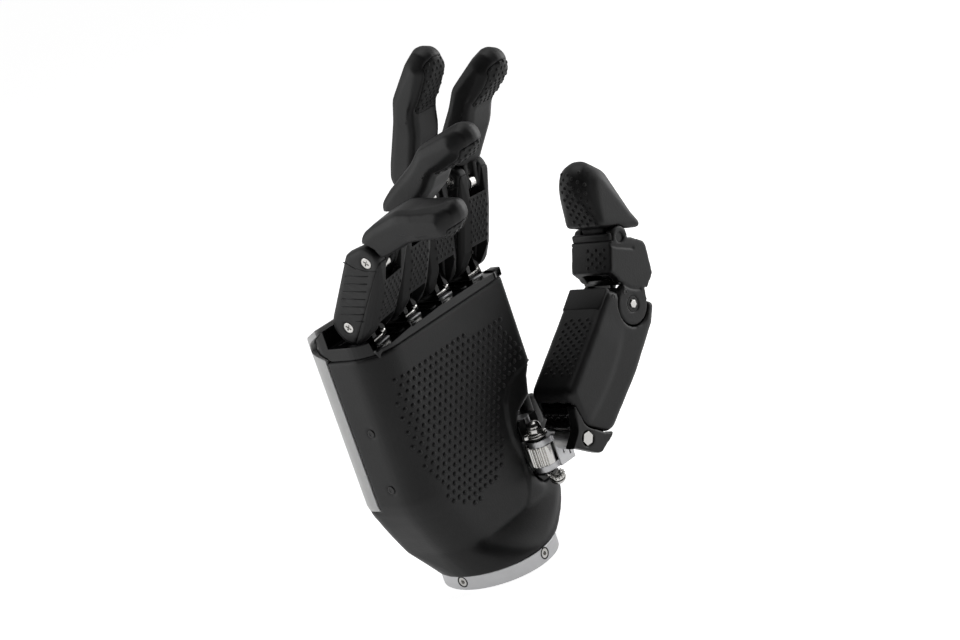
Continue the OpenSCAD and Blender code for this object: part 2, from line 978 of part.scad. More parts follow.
// Black block behind the gear; two lugs hold the turning shaft
module thumb_housing() {
    left = 15.4;
    right = 30;
    low = 21.4;
    top = motor_low + motor_h;
    lug_r = 3.4;
    color(SATIN)
        difference() {
            union() {
                translate([left, -housing_front, low])
                    cube([right - left, housing_front + recess_depth_y - 0.1, top - low]);
                translate([left, -housing_front - 1.1, motor_low])
                    cube([right - left, 2, motor_h]);
                for (z = [bracket_low - side_gap - lug_t, bracket_top + side_gap])
                    translate([yaw_x, -yaw_front, z]) {
                        cylinder(r = lug_r, h = lug_t);
                        translate([-lug_r, 0, 0])
                            cube([2 * lug_r, yaw_front - housing_front + 1, lug_t]);
                    }
            }
            translate([yaw_x, -yaw_front, bracket_low - side_gap])
                cylinder(r = gear_r + 1.4, h = bracket_top - bracket_low + 2 * side_gap);
            pinion_place() {
                translate([0, 0, gear_low - 0.5])
                    cylinder(r = pinion_r + 0.9, h = gear_h + 1);
                translate([0, 0, motor_low])
                    cylinder(r = motor_r + seat_gap, h = motor_h + 1);
                translate([0, 0, gear_top])
                    cylinder(r = pinion_shaft_r + run_gap, h = 4);
            }
            translate([yaw_x, -yaw_front, 0])
                cylinder(r = yaw_shaft_r, h = 80);
            palm_keep_out();
        }
}

// Keeps the housing inside the recess outline
module palm_keep_out() {
    translate([0, 40, 0])
        rotate([90, 0, 0])
            linear_extrude(80)
                difference() {
                    square([120, 200], center = true);
                    offset(delta = -0.2)
                        thumb_recess_outline();
                }
}

shaft_low = bracket_low - side_gap - lug_t;
shaft_top = bracket_top + side_gap + lug_t;

module yaw_shaft() {
    color(STEEL)
        translate([yaw_x, -yaw_front, shaft_low])
            cylinder(r = yaw_shaft_r, h = shaft_top - shaft_low);
}

// Cap nut and washer on the turning shaft
module yaw_nut() {
    color(STEEL)
        translate([yaw_x, -yaw_front, shaft_top]) {
            cylinder(r = 3.1, h = 0.7);
            translate([0, 0, 0.7 - overlap])
                cylinder(r = 2.8, h = 2, $fn = 6);
            translate([0, 0, 2.7 - 2 * overlap])
                cylinder(r = 2, h = 1.2);
        }
}

ear_layer = 4.3;
thumb_half = thumb_w / 2;
ear_inner = thumb_half - ear_layer;
boss_end = thumb_offset + ear_inner - side_gap;
block_side = gear_r + 0.8;
block_start = 2.8;
block_end = 10.8;

// Alloy bracket between the gear and the thumb's base pivot
module thumb_bracket() {
    arm_r = 4.2;
    color(ALLOY)
        at_yaw()
            difference() {
                union() {
                    translate([block_start, -block_side, bracket_low])
                        cube([block_end - block_start, block_side + 3, bracket_top - bracket_low]);
                    for (z = [bracket_low, gear_top])
                        translate([0, 0, z]) {
                            cylinder(r = arm_r, h = 2.4);
                            translate([0, -arm_r, 0])
                                cube([5, 2 * arm_r - 1.2, 2.4]);
                        }
                    translate([base_reach, -block_side, base_z])
                        rotate([90, 0, 0])
                            cylinder(r = 4.1, h = boss_end - block_side);
                }
                translate([0, 0, gear_low])
                    cylinder(r = gear_r + 0.75, h = gear_h);
                translate([0, 0, bracket_low - 1])
                    cylinder(r = yaw_shaft_r + run_gap, h = 30);
                translate([base_reach, -base_pin_start, base_z])
                    rotate([90, 0, 0])
                        cylinder(r = thumb_pin_r, h = 80);
                for (z = [bracket_low + 2.2, gear_top - 2.6])
                    translate([block_end - 2.4, -block_side - 1, z])
                        cube([0.8, 1.8, 2.6]);
                translate([block_start + 2.6, -block_side - 1, gear_low + 1.4])
                    cube([0.8, 1.7, gear_h - 1.8]);
            }
}

base_pin_head = 2.7;
base_pin_start = 4;

module base_pin() {
    outer = thumb_offset + thumb_half;
    color(STEEL)
        at_yaw()
            translate([base_reach, 0, base_z])
                rotate([90, 0, 0]) {
                    translate([0, 0, base_pin_start])
                        cylinder(r = thumb_pin_r, h = outer - 1.2 - base_pin_start);
                    translate([0, 0, outer - 1.2 - overlap])
                        cylinder(r = base_pin_head, h = 1.2, $fn = 6);
                }
}

// ---------- thumb ----------

// A thumb side outline, drawn as [along, inward], as a layer from y0 to y1
module thumb_layer(y0, y1) {
    translate([0, y1, 0])
        rotate([90, 0, 0])
            linear_extrude(y1 - y0)
                children();
}

module thumb_bore(x, r, length = big) {
    translate([x, 0, 0])
        rotate([90, 0, 0])
            cylinder(r = r, h = length, center = true);
}

lobe_r = 8;
tongue_half = ear_inner - side_gap;
base_swing_r = 9.9;

module thumb_body() {
    hull() {
        translate([12.6, 0, 12.3])
            thumb_disc(4.2, thumb_w, 3);
        translate([thumb_link - 3.6, 0, 12.2])
            thumb_disc(2.6, thumb_w, 2.4);
        translate([12.4, 0, 2])
            thumb_disc(8.2, thumb_w, 1.6);
        translate([12, 0, -6.5])
            thumb_disc(5.5, thumb_w, 2.4);
        translate([34, 0, -5.6])
            thumb_disc(8.4, thumb_w, 2.6);
        translate([thumb_link - 2, 0, -8.4])
            thumb_disc(5, thumb_w, 2.6);
        translate([thumb_link + 4.2, 0, -9.4])
            thumb_disc(1.7, thumb_w - 1, 1.2);
    }
}

module ear_outline() {
    hull() {
        translate([6.4, 10.6])
            circle(r = 2, $fn = hull_fn);
        translate([-5, 7.2])
            circle(r = 2, $fn = hull_fn);
        translate([0.5, -6.6])
            circle(r = 3, $fn = hull_fn);
        translate([7, -8.5])
            circle(r = 3, $fn = hull_fn);
    }
}

module seam_outline(gap) {
    hull() {
        translate([12.6, 12.3])
            circle(r = 4.2 + gap, $fn = hull_fn);
        translate([12.4, 2])
            circle(r = 8.2 + gap, $fn = hull_fn);
        translate([12, -6.5])
            circle(r = 5.5 + gap, $fn = hull_fn);
    }
}

cavity_half = 8;
bulkhead_x = thumb_link - 10.4;

// Hollow of the thumb's shell
module thumb_cavity(gap) {
    translate([-20, -cavity_half - gap, -8.6 - gap])
        cube([20.2 + bulkhead_x + gap, 2 * (cavity_half + gap), 20.6 + 2 * gap]);
    translate([30, -tongue_half - gap, -6.4 - gap])
        cube([80, 2 * (tongue_half + gap), 12.8 + 2 * gap]);
}

module thumb_shell() {
    color(BLACK)
        at_thumb_link()
            difference() {
                thumb_body();
                thumb_cavity(0);
                translate([0, tongue_half - ear_inner, 0])
                    thumb_layer(-ear_inner, big)
                        circle(r = base_swing_r);
                for (s = [-1, 1])
                    translate([0, s * (tongue_half + big / 2), 0])
                        thumb_bore(thumb_link, lobe_r + swing_gap, big);
            }
}

module thumb_frame() {
    color(SATIN)
        at_thumb_link()
            difference() {
                union() {
                    thumb_layer(-thumb_half, -ear_inner)
                        difference() {
                            ear_outline();
                            seam_outline(0.35);
                        }
                    thumb_layer(-cavity_half + seat_gap, -ear_inner + overlap)
                        intersection() {
                            union() {
                                ear_outline();
                                translate([4, -8])
                                    square([14, 16]);
                            }
                            translate([-20, -8.5])
                                square([60, 20]);
                        }
                    difference() {
                        translate([8, -cavity_half + seat_gap, -8.5])
                            cube([9, 2 * (cavity_half - seat_gap), 18]);
                        translate([0, -ear_inner, 0])
                            thumb_layer(0, big)
                                circle(r = base_swing_r);
                    }
                    translate([14, -6, -8.5])
                        cube([bulkhead_x - 15, 12, 2]);
                    translate([bulkhead_x - 2, -tongue_half + seat_gap, -8.5])
                        cube([2, 2 * (tongue_half - seat_gap), 17]);
                    translate([bulkhead_x - 6, -tongue_half + seat_gap, -6.3])
                        cube([thumb_link + 6 - bulkhead_x, 2 * (tongue_half - seat_gap), 12.6]);
                    thumb_bore(thumb_link, 6.3, 2 * (tongue_half - seat_gap));
                }
                thumb_bore(0, thumb_pin_r + run_gap);
                translate([0, -thumb_half + 0.6, 0])
                    thumb_bore(0, base_pin_head + 0.3, 1.4);
                thumb_bore(thumb_link, bush_r + run_gap);
            }
}

module thumb_actuator() {
    color(ALLOY)
        at_thumb_link()
            translate([18.3, -6.5, -6.4])
                cube([bulkhead_x - 24.7, 13, 13]);
}

bush_r = 3;

// Hollow bush at the thumb's knuckle
module thumb_knuckle_bush() {
    color(SATIN)
        at_thumb_mid()
            difference() {
                thumb_bore(0, bush_r, thumb_w - 1);
                rotate([0, 30, 0])
                    rotate([90, 0, 0])
                        cylinder(r = 2.1, h = big, center = true, $fn = 6);
            }
}

mid_w = thumb_w - 0.6;
mid_half = mid_w / 2;

plate_t = 1.6;
pivot_boss_r = 4.2;

// Side outline of the middle link's cover
module mid_outline() {
    polygon([[14.4, 9.6], [25.6, 6.6], [24.4, -6], [21.4, -12.4], [19.4, -13.4], [8.6, -14],
        [3.8, -9.6], [7, -4.6], [8.6, 0], [9.4, 4.4]]);
}

// Web that joins the knuckle's lobe to the cover, on the outside
module mid_neck() {
    polygon([[0, -lobe_r], [3.6, -8], [9.8, -8.6], [9.8, 2.2], [6.9, 4]]);
}

// Side plate that joins the knuckle's lobe to the tip pivot
module mid_plate() {
    circle(r = lobe_r);
    polygon([[4, -6.9], [mid_block_x, -8], [thumb_mid - 6, -8], [thumb_mid, -pivot_boss_r],
        [thumb_mid, pivot_boss_r], [mid_block_x, pivot_boss_r], [lobe_r, 1], [4, 2]]);
    translate([thumb_mid, 0])
        circle(r = pivot_boss_r);
}

mid_block_x = 15.2;

module mid_block() {
    width = 2 * (ear_inner + overlap);
    translate([mid_block_x, -width / 2, -9.6])
        cube([6.6, width, 12.4]);
    translate([mid_block_x, -width / 2, -5])
        cube([thumb_mid - 0.2 - mid_block_x, width, 7.8]);
}

module thumb_middle_cover() {
    color(BLACK)
        at_thumb_mid()
            difference() {
                thumb_layer(-mid_half, mid_half)
                    difference() {
                        mid_outline();
                        mid_neck();
                    }
                mid_block();
                thumb_layer(-ear_inner - plate_t, ear_inner + plate_t)
                    mid_plate();
                thumb_bore(0, mid_block_x, 2 * ear_inner);
                thumb_bore(0, lobe_r);
                thumb_bore(thumb_mid, pivot_boss_r);
                thumb_bore(thumb_mid, pivot_boss_r + swing_gap, 2 * ear_inner);
            }
}

// Frame of the middle link: two lobes at the knuckle, two ears at the tip
module thumb_middle_frame() {
    color(SATIN)
        at_thumb_mid()
            difference() {
                union() {
                    for (y = [-ear_inner - plate_t, ear_inner])
                        thumb_layer(y, y + plate_t)
                            mid_plate();
                    for (y = [-mid_half, ear_inner + plate_t - overlap])
                        thumb_layer(y, y + mid_half - ear_inner - plate_t + overlap) {
                            circle(r = lobe_r);
                            mid_neck();
                            translate([thumb_mid, 0])
                                circle(r = pivot_boss_r);
                        }
                    mid_block();
                }
                thumb_bore(0, bush_r);
                thumb_bore(thumb_mid, thumb_pin_r);
                thumb_bore(thumb_mid, pivot_boss_r + swing_gap, 2 * ear_inner);
            }
}

module thumb_tip_pin() {
    color(STEEL)
        at_thumb_tip()
            thumb_bore(0, thumb_pin_r, mid_w - 1.4);
}

module thumb_tip_body() {
    hull() {
        translate([1.2, 0, -10.8])
            thumb_disc(1.7, thumb_w - 1, 1.4);
        translate([8, 0, 5])
            thumb_disc(1.6, thumb_w - 2, 1.5);
        translate([thumb_tip_len - 10, 0, -0.8])
            thumb_disc(7.2, thumb_w - 4, 5);
        translate([thumb_tip_len - 6.2, 0, 0.8])
            thumb_disc(6.2, thumb_w - 8, 5);
    }
}

module thumb_pad_space() {
    translate([10, -6.4, 3.6])
        cube([40, 12.8, 20]);
}

module thumb_tip_shell() {
    color(BLACK)
        at_thumb_tip()
            difference() {
                union() {
                    difference() {
                        thumb_tip_body();
                        for (s = [-1, 1])
                            translate([0, s * (tongue_half + big / 2), 0])
                                thumb_bore(0, pivot_boss_r + swing_gap, big);
                        translate([-50 + 1.2, -big / 2, -6])
                            cube([50, big, 20]);
                        thumb_pad_space();
                    }
                    hull() {
                        thumb_bore(0, 4, 2 * tongue_half - 1);
                        translate([9, 0, -2])
                            thumb_disc(4, 2 * tongue_half - 1, 0.5);
                    }
                }
                thumb_bore(0, thumb_pin_r + run_gap);
            }
}

module thumb_tip_pad() {
    color(SATIN)
        at_thumb_tip()
            intersection() {
                thumb_tip_body();
                thumb_pad_space();
            }
}

// ---------- the assembly ----------

palm_shell();
back_cover();
knuckle_chassis();
knuckle_blocks();
coupler_ground_pins();
finger_actuators();
control_board();
cover_screws();
wrist_flange();
flange_screws();
wrist_connector();
thumb_motor();
thumb_pinion();
thumb_housing();
yaw_shaft();
yaw_nut();
thumb_gear();
thumb_bracket();
base_pin();
thumb_frame();
thumb_shell();
thumb_actuator();
thumb_knuckle_bush();
thumb_middle_frame();
thumb_middle_cover();
thumb_tip_pin();
thumb_tip_shell();
thumb_tip_pad();
for (i = [0:3]) {
    link_frame(i);
    grip_cover(i);
    pivot_screws(i);
    coupler(i);
    coupler_pin(i);
    tip_shell(i);
    tip_pad(i);
    push_rod(i);
}
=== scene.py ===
import math

import bmesh
import bpy
from bpy.props import FloatProperty, FloatVectorProperty, PointerProperty
from bpy.types import Operator, Panel, PropertyGroup
from mathutils import Matrix, Vector
from mathutils.bvhtree import BVHTree


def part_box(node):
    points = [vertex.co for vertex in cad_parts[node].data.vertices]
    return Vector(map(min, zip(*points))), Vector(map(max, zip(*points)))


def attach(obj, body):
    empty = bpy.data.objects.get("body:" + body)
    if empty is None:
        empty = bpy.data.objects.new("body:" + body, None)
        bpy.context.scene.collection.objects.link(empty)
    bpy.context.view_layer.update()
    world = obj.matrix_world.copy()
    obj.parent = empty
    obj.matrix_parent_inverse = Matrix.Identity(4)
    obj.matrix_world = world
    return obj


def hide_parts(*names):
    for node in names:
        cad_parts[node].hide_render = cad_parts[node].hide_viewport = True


bl_info = {
    "name": "Robot Hand Dressing",
    "version": (1, 0, 0),
    "blender": (4, 5, 0),
    "location": "View3D > Sidebar > Hand",
    "description": "Adds grips, fasteners, finishes and a studio to the robot hand's frame",
    "category": "Object",
}

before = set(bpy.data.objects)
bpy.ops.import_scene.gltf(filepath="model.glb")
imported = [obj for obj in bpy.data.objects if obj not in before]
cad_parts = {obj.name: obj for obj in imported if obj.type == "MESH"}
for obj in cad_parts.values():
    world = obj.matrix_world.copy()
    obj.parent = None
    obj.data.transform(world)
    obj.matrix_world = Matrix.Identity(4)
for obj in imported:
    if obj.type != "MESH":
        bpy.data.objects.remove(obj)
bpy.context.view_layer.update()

# Lengths are in millimetres and angles in degrees, as in the part's source.
MM = 0.001
FINGERS = ("index", "middle", "ring", "little")
INDEX_X = 32.3
FINGER_PITCH = 19.25
KNUCKLE_Z = 112
FAN = (2.5, 0, -3, -6)
RISE = (-0.4, 0.2, 0, -1)
REST = (24, 18.5, 34, 42)
MIDDLE_RATIO = 1.1
LINK_LEN = 32
TIP_LEN = (51, 54.5, 51, 43.5)
TIP_LEAN = (1.0, 1.0, 1.6, -2.2)
THUMB_LEN = 56.2
THUMB_MIDDLE_LEN = 25.8
WHOLE = Matrix.Identity(4)
CAMERA_AT = Vector((-0.567763, -0.562294, 0.306896))
CAMERA_LOOK = Vector((0.70381, 0.66068, -0.26107))
CAMERA_UP = Vector((0.40009, -0.06497, 0.91417))


# ---------- places on the hand ----------

def shifted(x, y, z):
    """A move in millimetres."""
    return Matrix.Translation((x * MM, y * MM, z * MM))


def turned(axis, degrees):
    """A turn about an axis."""
    return Matrix.Rotation(math.radians(degrees), 4, axis)


def knuckle_place(i):
    """A finger's knuckle on the palm."""
    return shifted(INDEX_X - FINGER_PITCH * i, 0, KNUCKLE_Z + RISE[i]) @ turned("Y", FAN[i])


def link_place(i):
    """A finger's first link, which starts at the knuckle."""
    return knuckle_place(i) @ turned("X", REST[i])


def tip_place(i):
    """A fingertip, which starts at the middle joint."""
    return link_place(i) @ shifted(0, 0, LINK_LEN) @ turned("X", MIDDLE_RATIO * REST[i])


YAW_PLACE = shifted(21.9, -17, 0) @ turned("Z", -5)
THUMB_LINK = YAW_PLACE @ shifted(6.8, -8.5, 36.5) @ turned("Y", -38)
THUMB_MIDDLE = THUMB_LINK @ shifted(THUMB_LEN, 0, 0) @ turned("Y", -43)
THUMB_TIP = THUMB_MIDDLE @ shifted(THUMB_MIDDLE_LEN, 0, 0) @ turned("Y", -9)


# ---------- sizes and colours ----------

def length_prop(label, about, default, low, high):
    """A length between two bounds."""
    return FloatProperty(name=label, description=about, default=default, min=low, max=high,
                         unit="LENGTH", precision=5)


def power_prop(label, about, default):
    """A lamp's power."""
    return FloatProperty(name=label, description=about, default=default, min=0, max=50,
                         unit="POWER")


def colour_prop(label, about, default):
    """A finish's colour."""
    return FloatVectorProperty(name=label, description=about, default=default, min=0, max=1,
                               size=3, subtype="COLOR")


class HandGripSizes(PropertyGroup):
    """Sizes of the raised grip studs"""

    palm_pitch: length_prop(
        "Palm pitch", "Distance between studs on the palm", 3.24 * MM, 0.002, 0.006)
    palm_radius: length_prop(
        "Palm stud radius", "Radius of a stud on the palm", 0.98 * MM, 0.0003, 0.0015)
    palm_height: length_prop(
        "Palm stud height", "Height of a stud on the palm", 0.62 * MM, 0.0001, 0.001)
    finger_pitch: length_prop(
        "Finger pitch", "Distance between studs on the fingers", 2.3 * MM, 0.0015, 0.004)
    finger_radius: length_prop(
        "Finger stud radius", "Radius of a stud on the fingers", 0.55 * MM, 0.0002, 0.001)
    finger_height: length_prop(
        "Finger stud height", "Height of a stud on the fingers", 0.35 * MM, 0.0001, 0.001)
    thumb_pitch: length_prop(
        "Thumb pitch", "Distance between studs on the thumb", 2.4 * MM, 0.0015, 0.005)
    thumb_radius: length_prop(
        "Thumb stud radius", "Radius of a stud on the thumb", 0.68 * MM, 0.0002, 0.0012)
    root_height: length_prop(
        "Thumb root height", "Height of the swell at the thumb's root", 0.9 * MM, 0.0002, 0.003)


class HandColours(PropertyGroup):
    """Colours of the hand's finishes"""

    shell: colour_prop("Casings", "Matte moulded casings", (0.0085, 0.0085, 0.0088))
    grip: colour_prop("Grip", "Soft grip covers and pads", (0.0065, 0.0065, 0.0067))
    satin: colour_prop("Satin parts", "Satin black frames", (0.0075, 0.0075, 0.0077))
    # The gloss colour also paints the shade on the knuckle blocks, in the screw sockets and in the
    # flange's countersinks.
    gloss: colour_prop("Gloss parts", "Polished black chassis", (0.0045, 0.0045, 0.0047))
    cover: colour_prop("Back cover", "Pale back cover", (0.74, 0.74, 0.735))
    alloy: colour_prop("Alloy", "Blasted aluminium", (0.62, 0.62, 0.63))
    steel: colour_prop("Steel", "Bright ground steel", (0.66, 0.65, 0.63))
    board: colour_prop("Board", "Circuit board's green mask", (0.012, 0.07, 0.035))


class HandStageSizes(PropertyGroup):
    """Studio around the hand"""

    side_power: power_prop("Thumb side light", "Power of the light on the thumb's side", 3.4)
    flank_power: power_prop(
        "Little finger side light", "Power of the light on the little finger's side", 3.0)
    top_power: power_prop("Top light", "Power of the light above the hand", 2.2)
    lens: FloatProperty(
        name="Lens", description="Focal length of the camera in millimetres",
        default=85.456, min=20, max=200)
    floor_size: FloatProperty(
        name="Floor", description="Width of the floor",
        default=16.0, min=1, max=40, unit="LENGTH")


# ---------- shader groups ----------

def new_group(name, inputs, outputs):
    """An empty shader group with its sockets, and its input and output nodes."""
    group = bpy.data.node_groups.new(name, "ShaderNodeTree")
    for label, kind, value in inputs:
        socket = group.interface.new_socket(label, in_out="INPUT", socket_type=kind)
        if value is not None:
            socket.default_value = value
    for label, kind in outputs:
        group.interface.new_socket(label, in_out="OUTPUT", socket_type=kind)
    return group, group.nodes.new("NodeGroupInput"), group.nodes.new("NodeGroupOutput")


def put(tree, value, socket):
    """Links a socket to an input, or sets the input's value."""
    if isinstance(value, bpy.types.NodeSocket):
        tree.links.new(value, socket)
    else:
        socket.default_value = value


def feed(tree, node, **values):
    """Fills a node's inputs, whose names have _ for a space here."""
    for label, value in values.items():
        put(tree, value, node.inputs[label.replace("_", " ")])


def math_node(tree, operation, a, b, clamp=False):
    """A Math node's result; a and b are numbers or sockets."""
    node = tree.nodes.new("ShaderNodeMath")
    node.operation = operation
    node.use_clamp = clamp
    put(tree, a, node.inputs[0])
    put(tree, b, node.inputs[1])
    return node.outputs[0]


def noise_node(tree, vector, scale, detail=3.0, roughness=0.5):
    """A noise's value at a vector."""
    node = tree.nodes.new("ShaderNodeTexNoise")
    feed(tree, node, Vector=vector, Scale=scale, Detail=detail, Roughness=roughness)
    return node.outputs["Fac"]


def range_node(tree, value, low, high, to_low, to_high):
    """A value mapped from one range to another, held at its ends."""
    node = tree.nodes.new("ShaderNodeMapRange")
    feed(tree, node, Value=value, From_Min=low, From_Max=high, To_Min=to_low, To_Max=to_high)
    return node.outputs["Result"]


def edge_wear_group():
    """Rounded edges' normal, and a broken mask of where hands and tools rub them."""
    group, given, made = new_group(
        "Edge Wear",
        [("Vector", "NodeSocketVector", None), ("Radius", "NodeSocketFloat", 0.0004),
         ("Amount", "NodeSocketFloat", 1.0), ("Breakup", "NodeSocketFloat", 400.0)],
        [("Mask", "NodeSocketFloat"), ("Normal", "NodeSocketVector")])
    bevel = group.nodes.new("ShaderNodeBevel")
    bevel.samples = 6
    geometry = group.nodes.new("ShaderNodeNewGeometry")
    dot = group.nodes.new("ShaderNodeVectorMath")
    dot.operation = "DOT_PRODUCT"
    feed(group, bevel, Radius=given.outputs["Radius"])
    put(group, bevel.outputs["Normal"], dot.inputs[0])
    put(group, geometry.outputs["True Normal"], dot.inputs[1])
    edge = range_node(group, dot.outputs["Value"], 0.99, 0.80, 0.0, 1.0)
    noise = noise_node(group, given.outputs["Vector"], given.outputs["Breakup"], 4.0, 0.6)
    broken = range_node(group, noise, 0.42, 0.62, 0.25, 1.0)
    mask = math_node(group, "MULTIPLY", edge, broken)
    mask = math_node(group, "MULTIPLY", mask, given.outputs["Amount"], clamp=True)
    feed(group, made, Mask=mask, Normal=bevel.outputs["Normal"])
    return group


def moulded_grain_group():
    """Fine spark-eroded grain of a mould, with slow changes of tone."""
    group, given, made = new_group(
        "Moulded Grain",
        [("Vector", "NodeSocketVector", None), ("Grain Scale", "NodeSocketFloat", 1600.0),
         ("Tone Scale", "NodeSocketFloat", 30.0)],
        [("Height", "NodeSocketFloat"), ("Tone", "NodeSocketFloat")])
    fine = noise_node(group, given.outputs["Vector"], given.outputs["Grain Scale"], 2.0, 0.6)
    cells = group.nodes.new("ShaderNodeTexVoronoi")
    cells.feature = "SMOOTH_F1"
    feed(group, cells, Vector=given.outputs["Vector"], Scale=given.outputs["Grain Scale"])
    height = math_node(group, "ADD", fine, cells.outputs["Distance"])
    tone = noise_node(group, given.outputs["Vector"], given.outputs["Tone Scale"], 5.0, 0.6)
    feed(group, made, Height=height, Tone=tone)
    return group


def handling_group():
    """Faint smears and dust that gather on handled surfaces."""
    group, given, made = new_group(
        "Handling",
        [("Vector", "NodeSocketVector", None), ("Smear Scale", "NodeSocketFloat", 55.0),
         ("Amount", "NodeSocketFloat", 0.5)],
        [("Mask", "NodeSocketFloat")])
    slow = noise_node(group, given.outputs["Vector"], given.outputs["Smear Scale"], 6.0, 0.65)
    warped = group.nodes.new("ShaderNodeVectorMath")
    warped.operation = "MULTIPLY"
    warped.inputs[1].default_value = (1.0, 1.0, 3.5)
    group.links.new(given.outputs["Vector"], warped.inputs[0])
    streak = noise_node(group, warped.outputs["Vector"], given.outputs["Smear Scale"], 8.0, 0.7)
    both = math_node(group, "MULTIPLY", slow, streak)
    mask = range_node(group, both, 0.18, 0.38, 0.0, 1.0)
    mask = math_node(group, "MULTIPLY", mask, given.outputs["Amount"], clamp=True)
    feed(group, made, Mask=mask)
    return group


def machined_group():
    """Fine parallel marks of a cutter on metal."""
    group, given, made = new_group(
        "Machined Marks",
        [("Vector", "NodeSocketVector", None), ("Across", "NodeSocketFloat", 2600.0),
         ("Along", "NodeSocketFloat", 120.0)],
        [("Height", "NodeSocketFloat"), ("Tone", "NodeSocketFloat")])
    join = group.nodes.new("ShaderNodeCombineXYZ")
    for axis, label in zip("XYZ", ("Along", "Along", "Across")):
        group.links.new(given.outputs[label], join.inputs[axis])
    stretched = group.nodes.new("ShaderNodeVectorMath")
    stretched.operation = "MULTIPLY"
    group.links.new(given.outputs["Vector"], stretched.inputs[0])
    group.links.new(join.outputs["Vector"], stretched.inputs[1])
    marks = noise_node(group, stretched.outputs["Vector"], 1.0, 3.0, 0.6)
    tone = noise_node(group, given.outputs["Vector"], 90.0, 4.0, 0.6)
    feed(group, made, Height=marks, Tone=tone)
    return group


GROUPS = {}


def shared_group(name):
    """A shader group, built the first time it is asked for."""
    makers = {"Edge Wear": edge_wear_group, "Moulded Grain": moulded_grain_group,
              "Handling": handling_group, "Machined Marks": machined_group}
    if name not in GROUPS:
        GROUPS[name] = makers[name]()
    return GROUPS[name]


def place_group(tree, name, vector, **values):
    """A shader group's node in a material, with the material's own values."""
    node = tree.nodes.new("ShaderNodeGroup")
    node.node_tree = shared_group(name)
    feed(tree, node, Vector=vector, **values)
    return node


def start_material(name):
    """A new material with its shader and its object coordinates."""
    material = bpy.data.materials.new(name)
    material.use_nodes = True
    tree = material.node_tree
    tree.nodes.clear()
    shader = tree.nodes.new("ShaderNodeBsdfPrincipled")
    output = tree.nodes.new("ShaderNodeOutputMaterial")
    tree.links.new(shader.outputs["BSDF"], output.inputs["Surface"])
    coords = tree.nodes.new("ShaderNodeTexCoord")
    return material, tree, shader, coords.outputs["Object"]


def mixed_colour(tree, factor, a, b):
    """A colour between a and b, which are colours or sockets."""
    node = tree.nodes.new("ShaderNodeMix")
    node.data_type = "RGBA"
    put(tree, factor, node.inputs[0])
    for socket, value in ((node.inputs[6], a), (node.inputs[7], b)):
        put(tree, (*value, 1.0) if isinstance(value, tuple) else value, socket)
    return node.outputs[2]


def bump_node(tree, height, normal, distance):
    """The normal of a surface with a height on it."""
    node = tree.nodes.new("ShaderNodeBump")
    feed(tree, node, Strength=1.0, Distance=distance, Height=height)
    if normal is not None:
        feed(tree, node, Normal=normal)
    return node.outputs["Normal"]


def scaled(base, factor):
    """A colour made lighter or darker."""
    return tuple(min(1.0, c * factor) for c in base)


def plastic(name, base, rough, spread, grain, depth, radius, wear, worn, smear, **more):
    """A moulded plastic: grain, slow tone, worn edges and faint smears."""
    material, tree, shader, vector = start_material(name)
    edges = place_group(tree, "Edge Wear", vector, Radius=radius, Amount=wear)
    mould = place_group(tree, "Moulded Grain", vector, Grain_Scale=grain)
    hands = place_group(tree, "Handling", vector, Amount=smear)
    tone = mixed_colour(tree, mould.outputs["Tone"], scaled(base, 0.82), scaled(base, 1.18))
    dusty = mixed_colour(tree, hands.outputs["Mask"], tone, scaled(base, 1.9))
    uneven = range_node(tree, mould.outputs["Tone"], 0.3, 0.7, rough - spread, rough + spread)
    rubbed = math_node(tree, "MULTIPLY", edges.outputs["Mask"], 0.12)
    feed(tree, shader, Base_Color=mixed_colour(tree, edges.outputs["Mask"], dusty, worn),
         Roughness=math_node(tree, "SUBTRACT", uneven, rubbed),
         Normal=bump_node(tree, mould.outputs["Height"], edges.outputs["Normal"], depth), **more)
    return material


def metal(name, base, rough, spread, across, depth, radius):
    """A machined metal: cutter marks, slow tone and bright edges."""
    material, tree, shader, vector = start_material(name)
    edges = place_group(tree, "Edge Wear", vector, Radius=radius, Amount=0.8)
    marks = place_group(tree, "Machined Marks", vector, Across=across)
    hands = place_group(tree, "Handling", vector, Amount=0.35)
    tone = mixed_colour(tree, marks.outputs["Tone"], scaled(base, 0.86), scaled(base, 1.1))
    dull = mixed_colour(tree, hands.outputs["Mask"], tone, scaled(base, 0.72))
    uneven = range_node(tree, marks.outputs["Tone"], 0.3, 0.7, rough - spread, rough + spread)
    feed(tree, shader, Metallic=1.0, Roughness=uneven,
         Base_Color=mixed_colour(tree, edges.outputs["Mask"], dull, scaled(base, 1.35)),
         Normal=bump_node(tree, marks.outputs["Height"], edges.outputs["Normal"], depth))
    return material


def make_shell(colours):
    """The palm's, links' and tips' casings."""
    return plastic(
        "Matte Casing", colours.shell, rough=0.46, spread=0.05, grain=1500, depth=2.4e-5,
        radius=0.9 * MM, wear=0.45, worn=(0.02, 0.02, 0.0203), smear=0.2,
        Specular_IOR_Level=0.34)


def make_grip(colours):
    """The grip covers and the tips' pads."""
    return plastic(
        "Soft Grip", colours.grip, rough=0.56, spread=0.05, grain=2200, depth=2.0e-5,
        radius=0.5 * MM, wear=0.25, worn=(0.016, 0.016, 0.016), smear=0.3,
        Specular_IOR_Level=0.32, Sheen_Weight=0.05, Sheen_Roughness=0.5)


def make_satin(colours):
    """The thumb's frames, the pins' shafts and the wrist socket."""
    return plastic(
        "Satin Black", colours.satin, rough=0.34, spread=0.05, grain=1800, depth=1.2e-5,
        radius=0.4 * MM, wear=0.6, worn=(0.03, 0.03, 0.0305), smear=0.25,
        Specular_IOR_Level=0.34)


def make_gloss(colours):
    """The knuckle chassis and other polished black parts, and the dark pieces that paint shade: on
    the knuckle blocks, in screw sockets and in countersinks.
    """
    return plastic(
        "Gloss Black", colours.gloss, rough=0.17, spread=0.04, grain=900, depth=0.4e-5,
        radius=0.4 * MM, wear=0.4, worn=(0.04, 0.04, 0.041), smear=0.25,
        Specular_IOR_Level=0.3, Coat_Weight=0.12, Coat_Roughness=0.08)


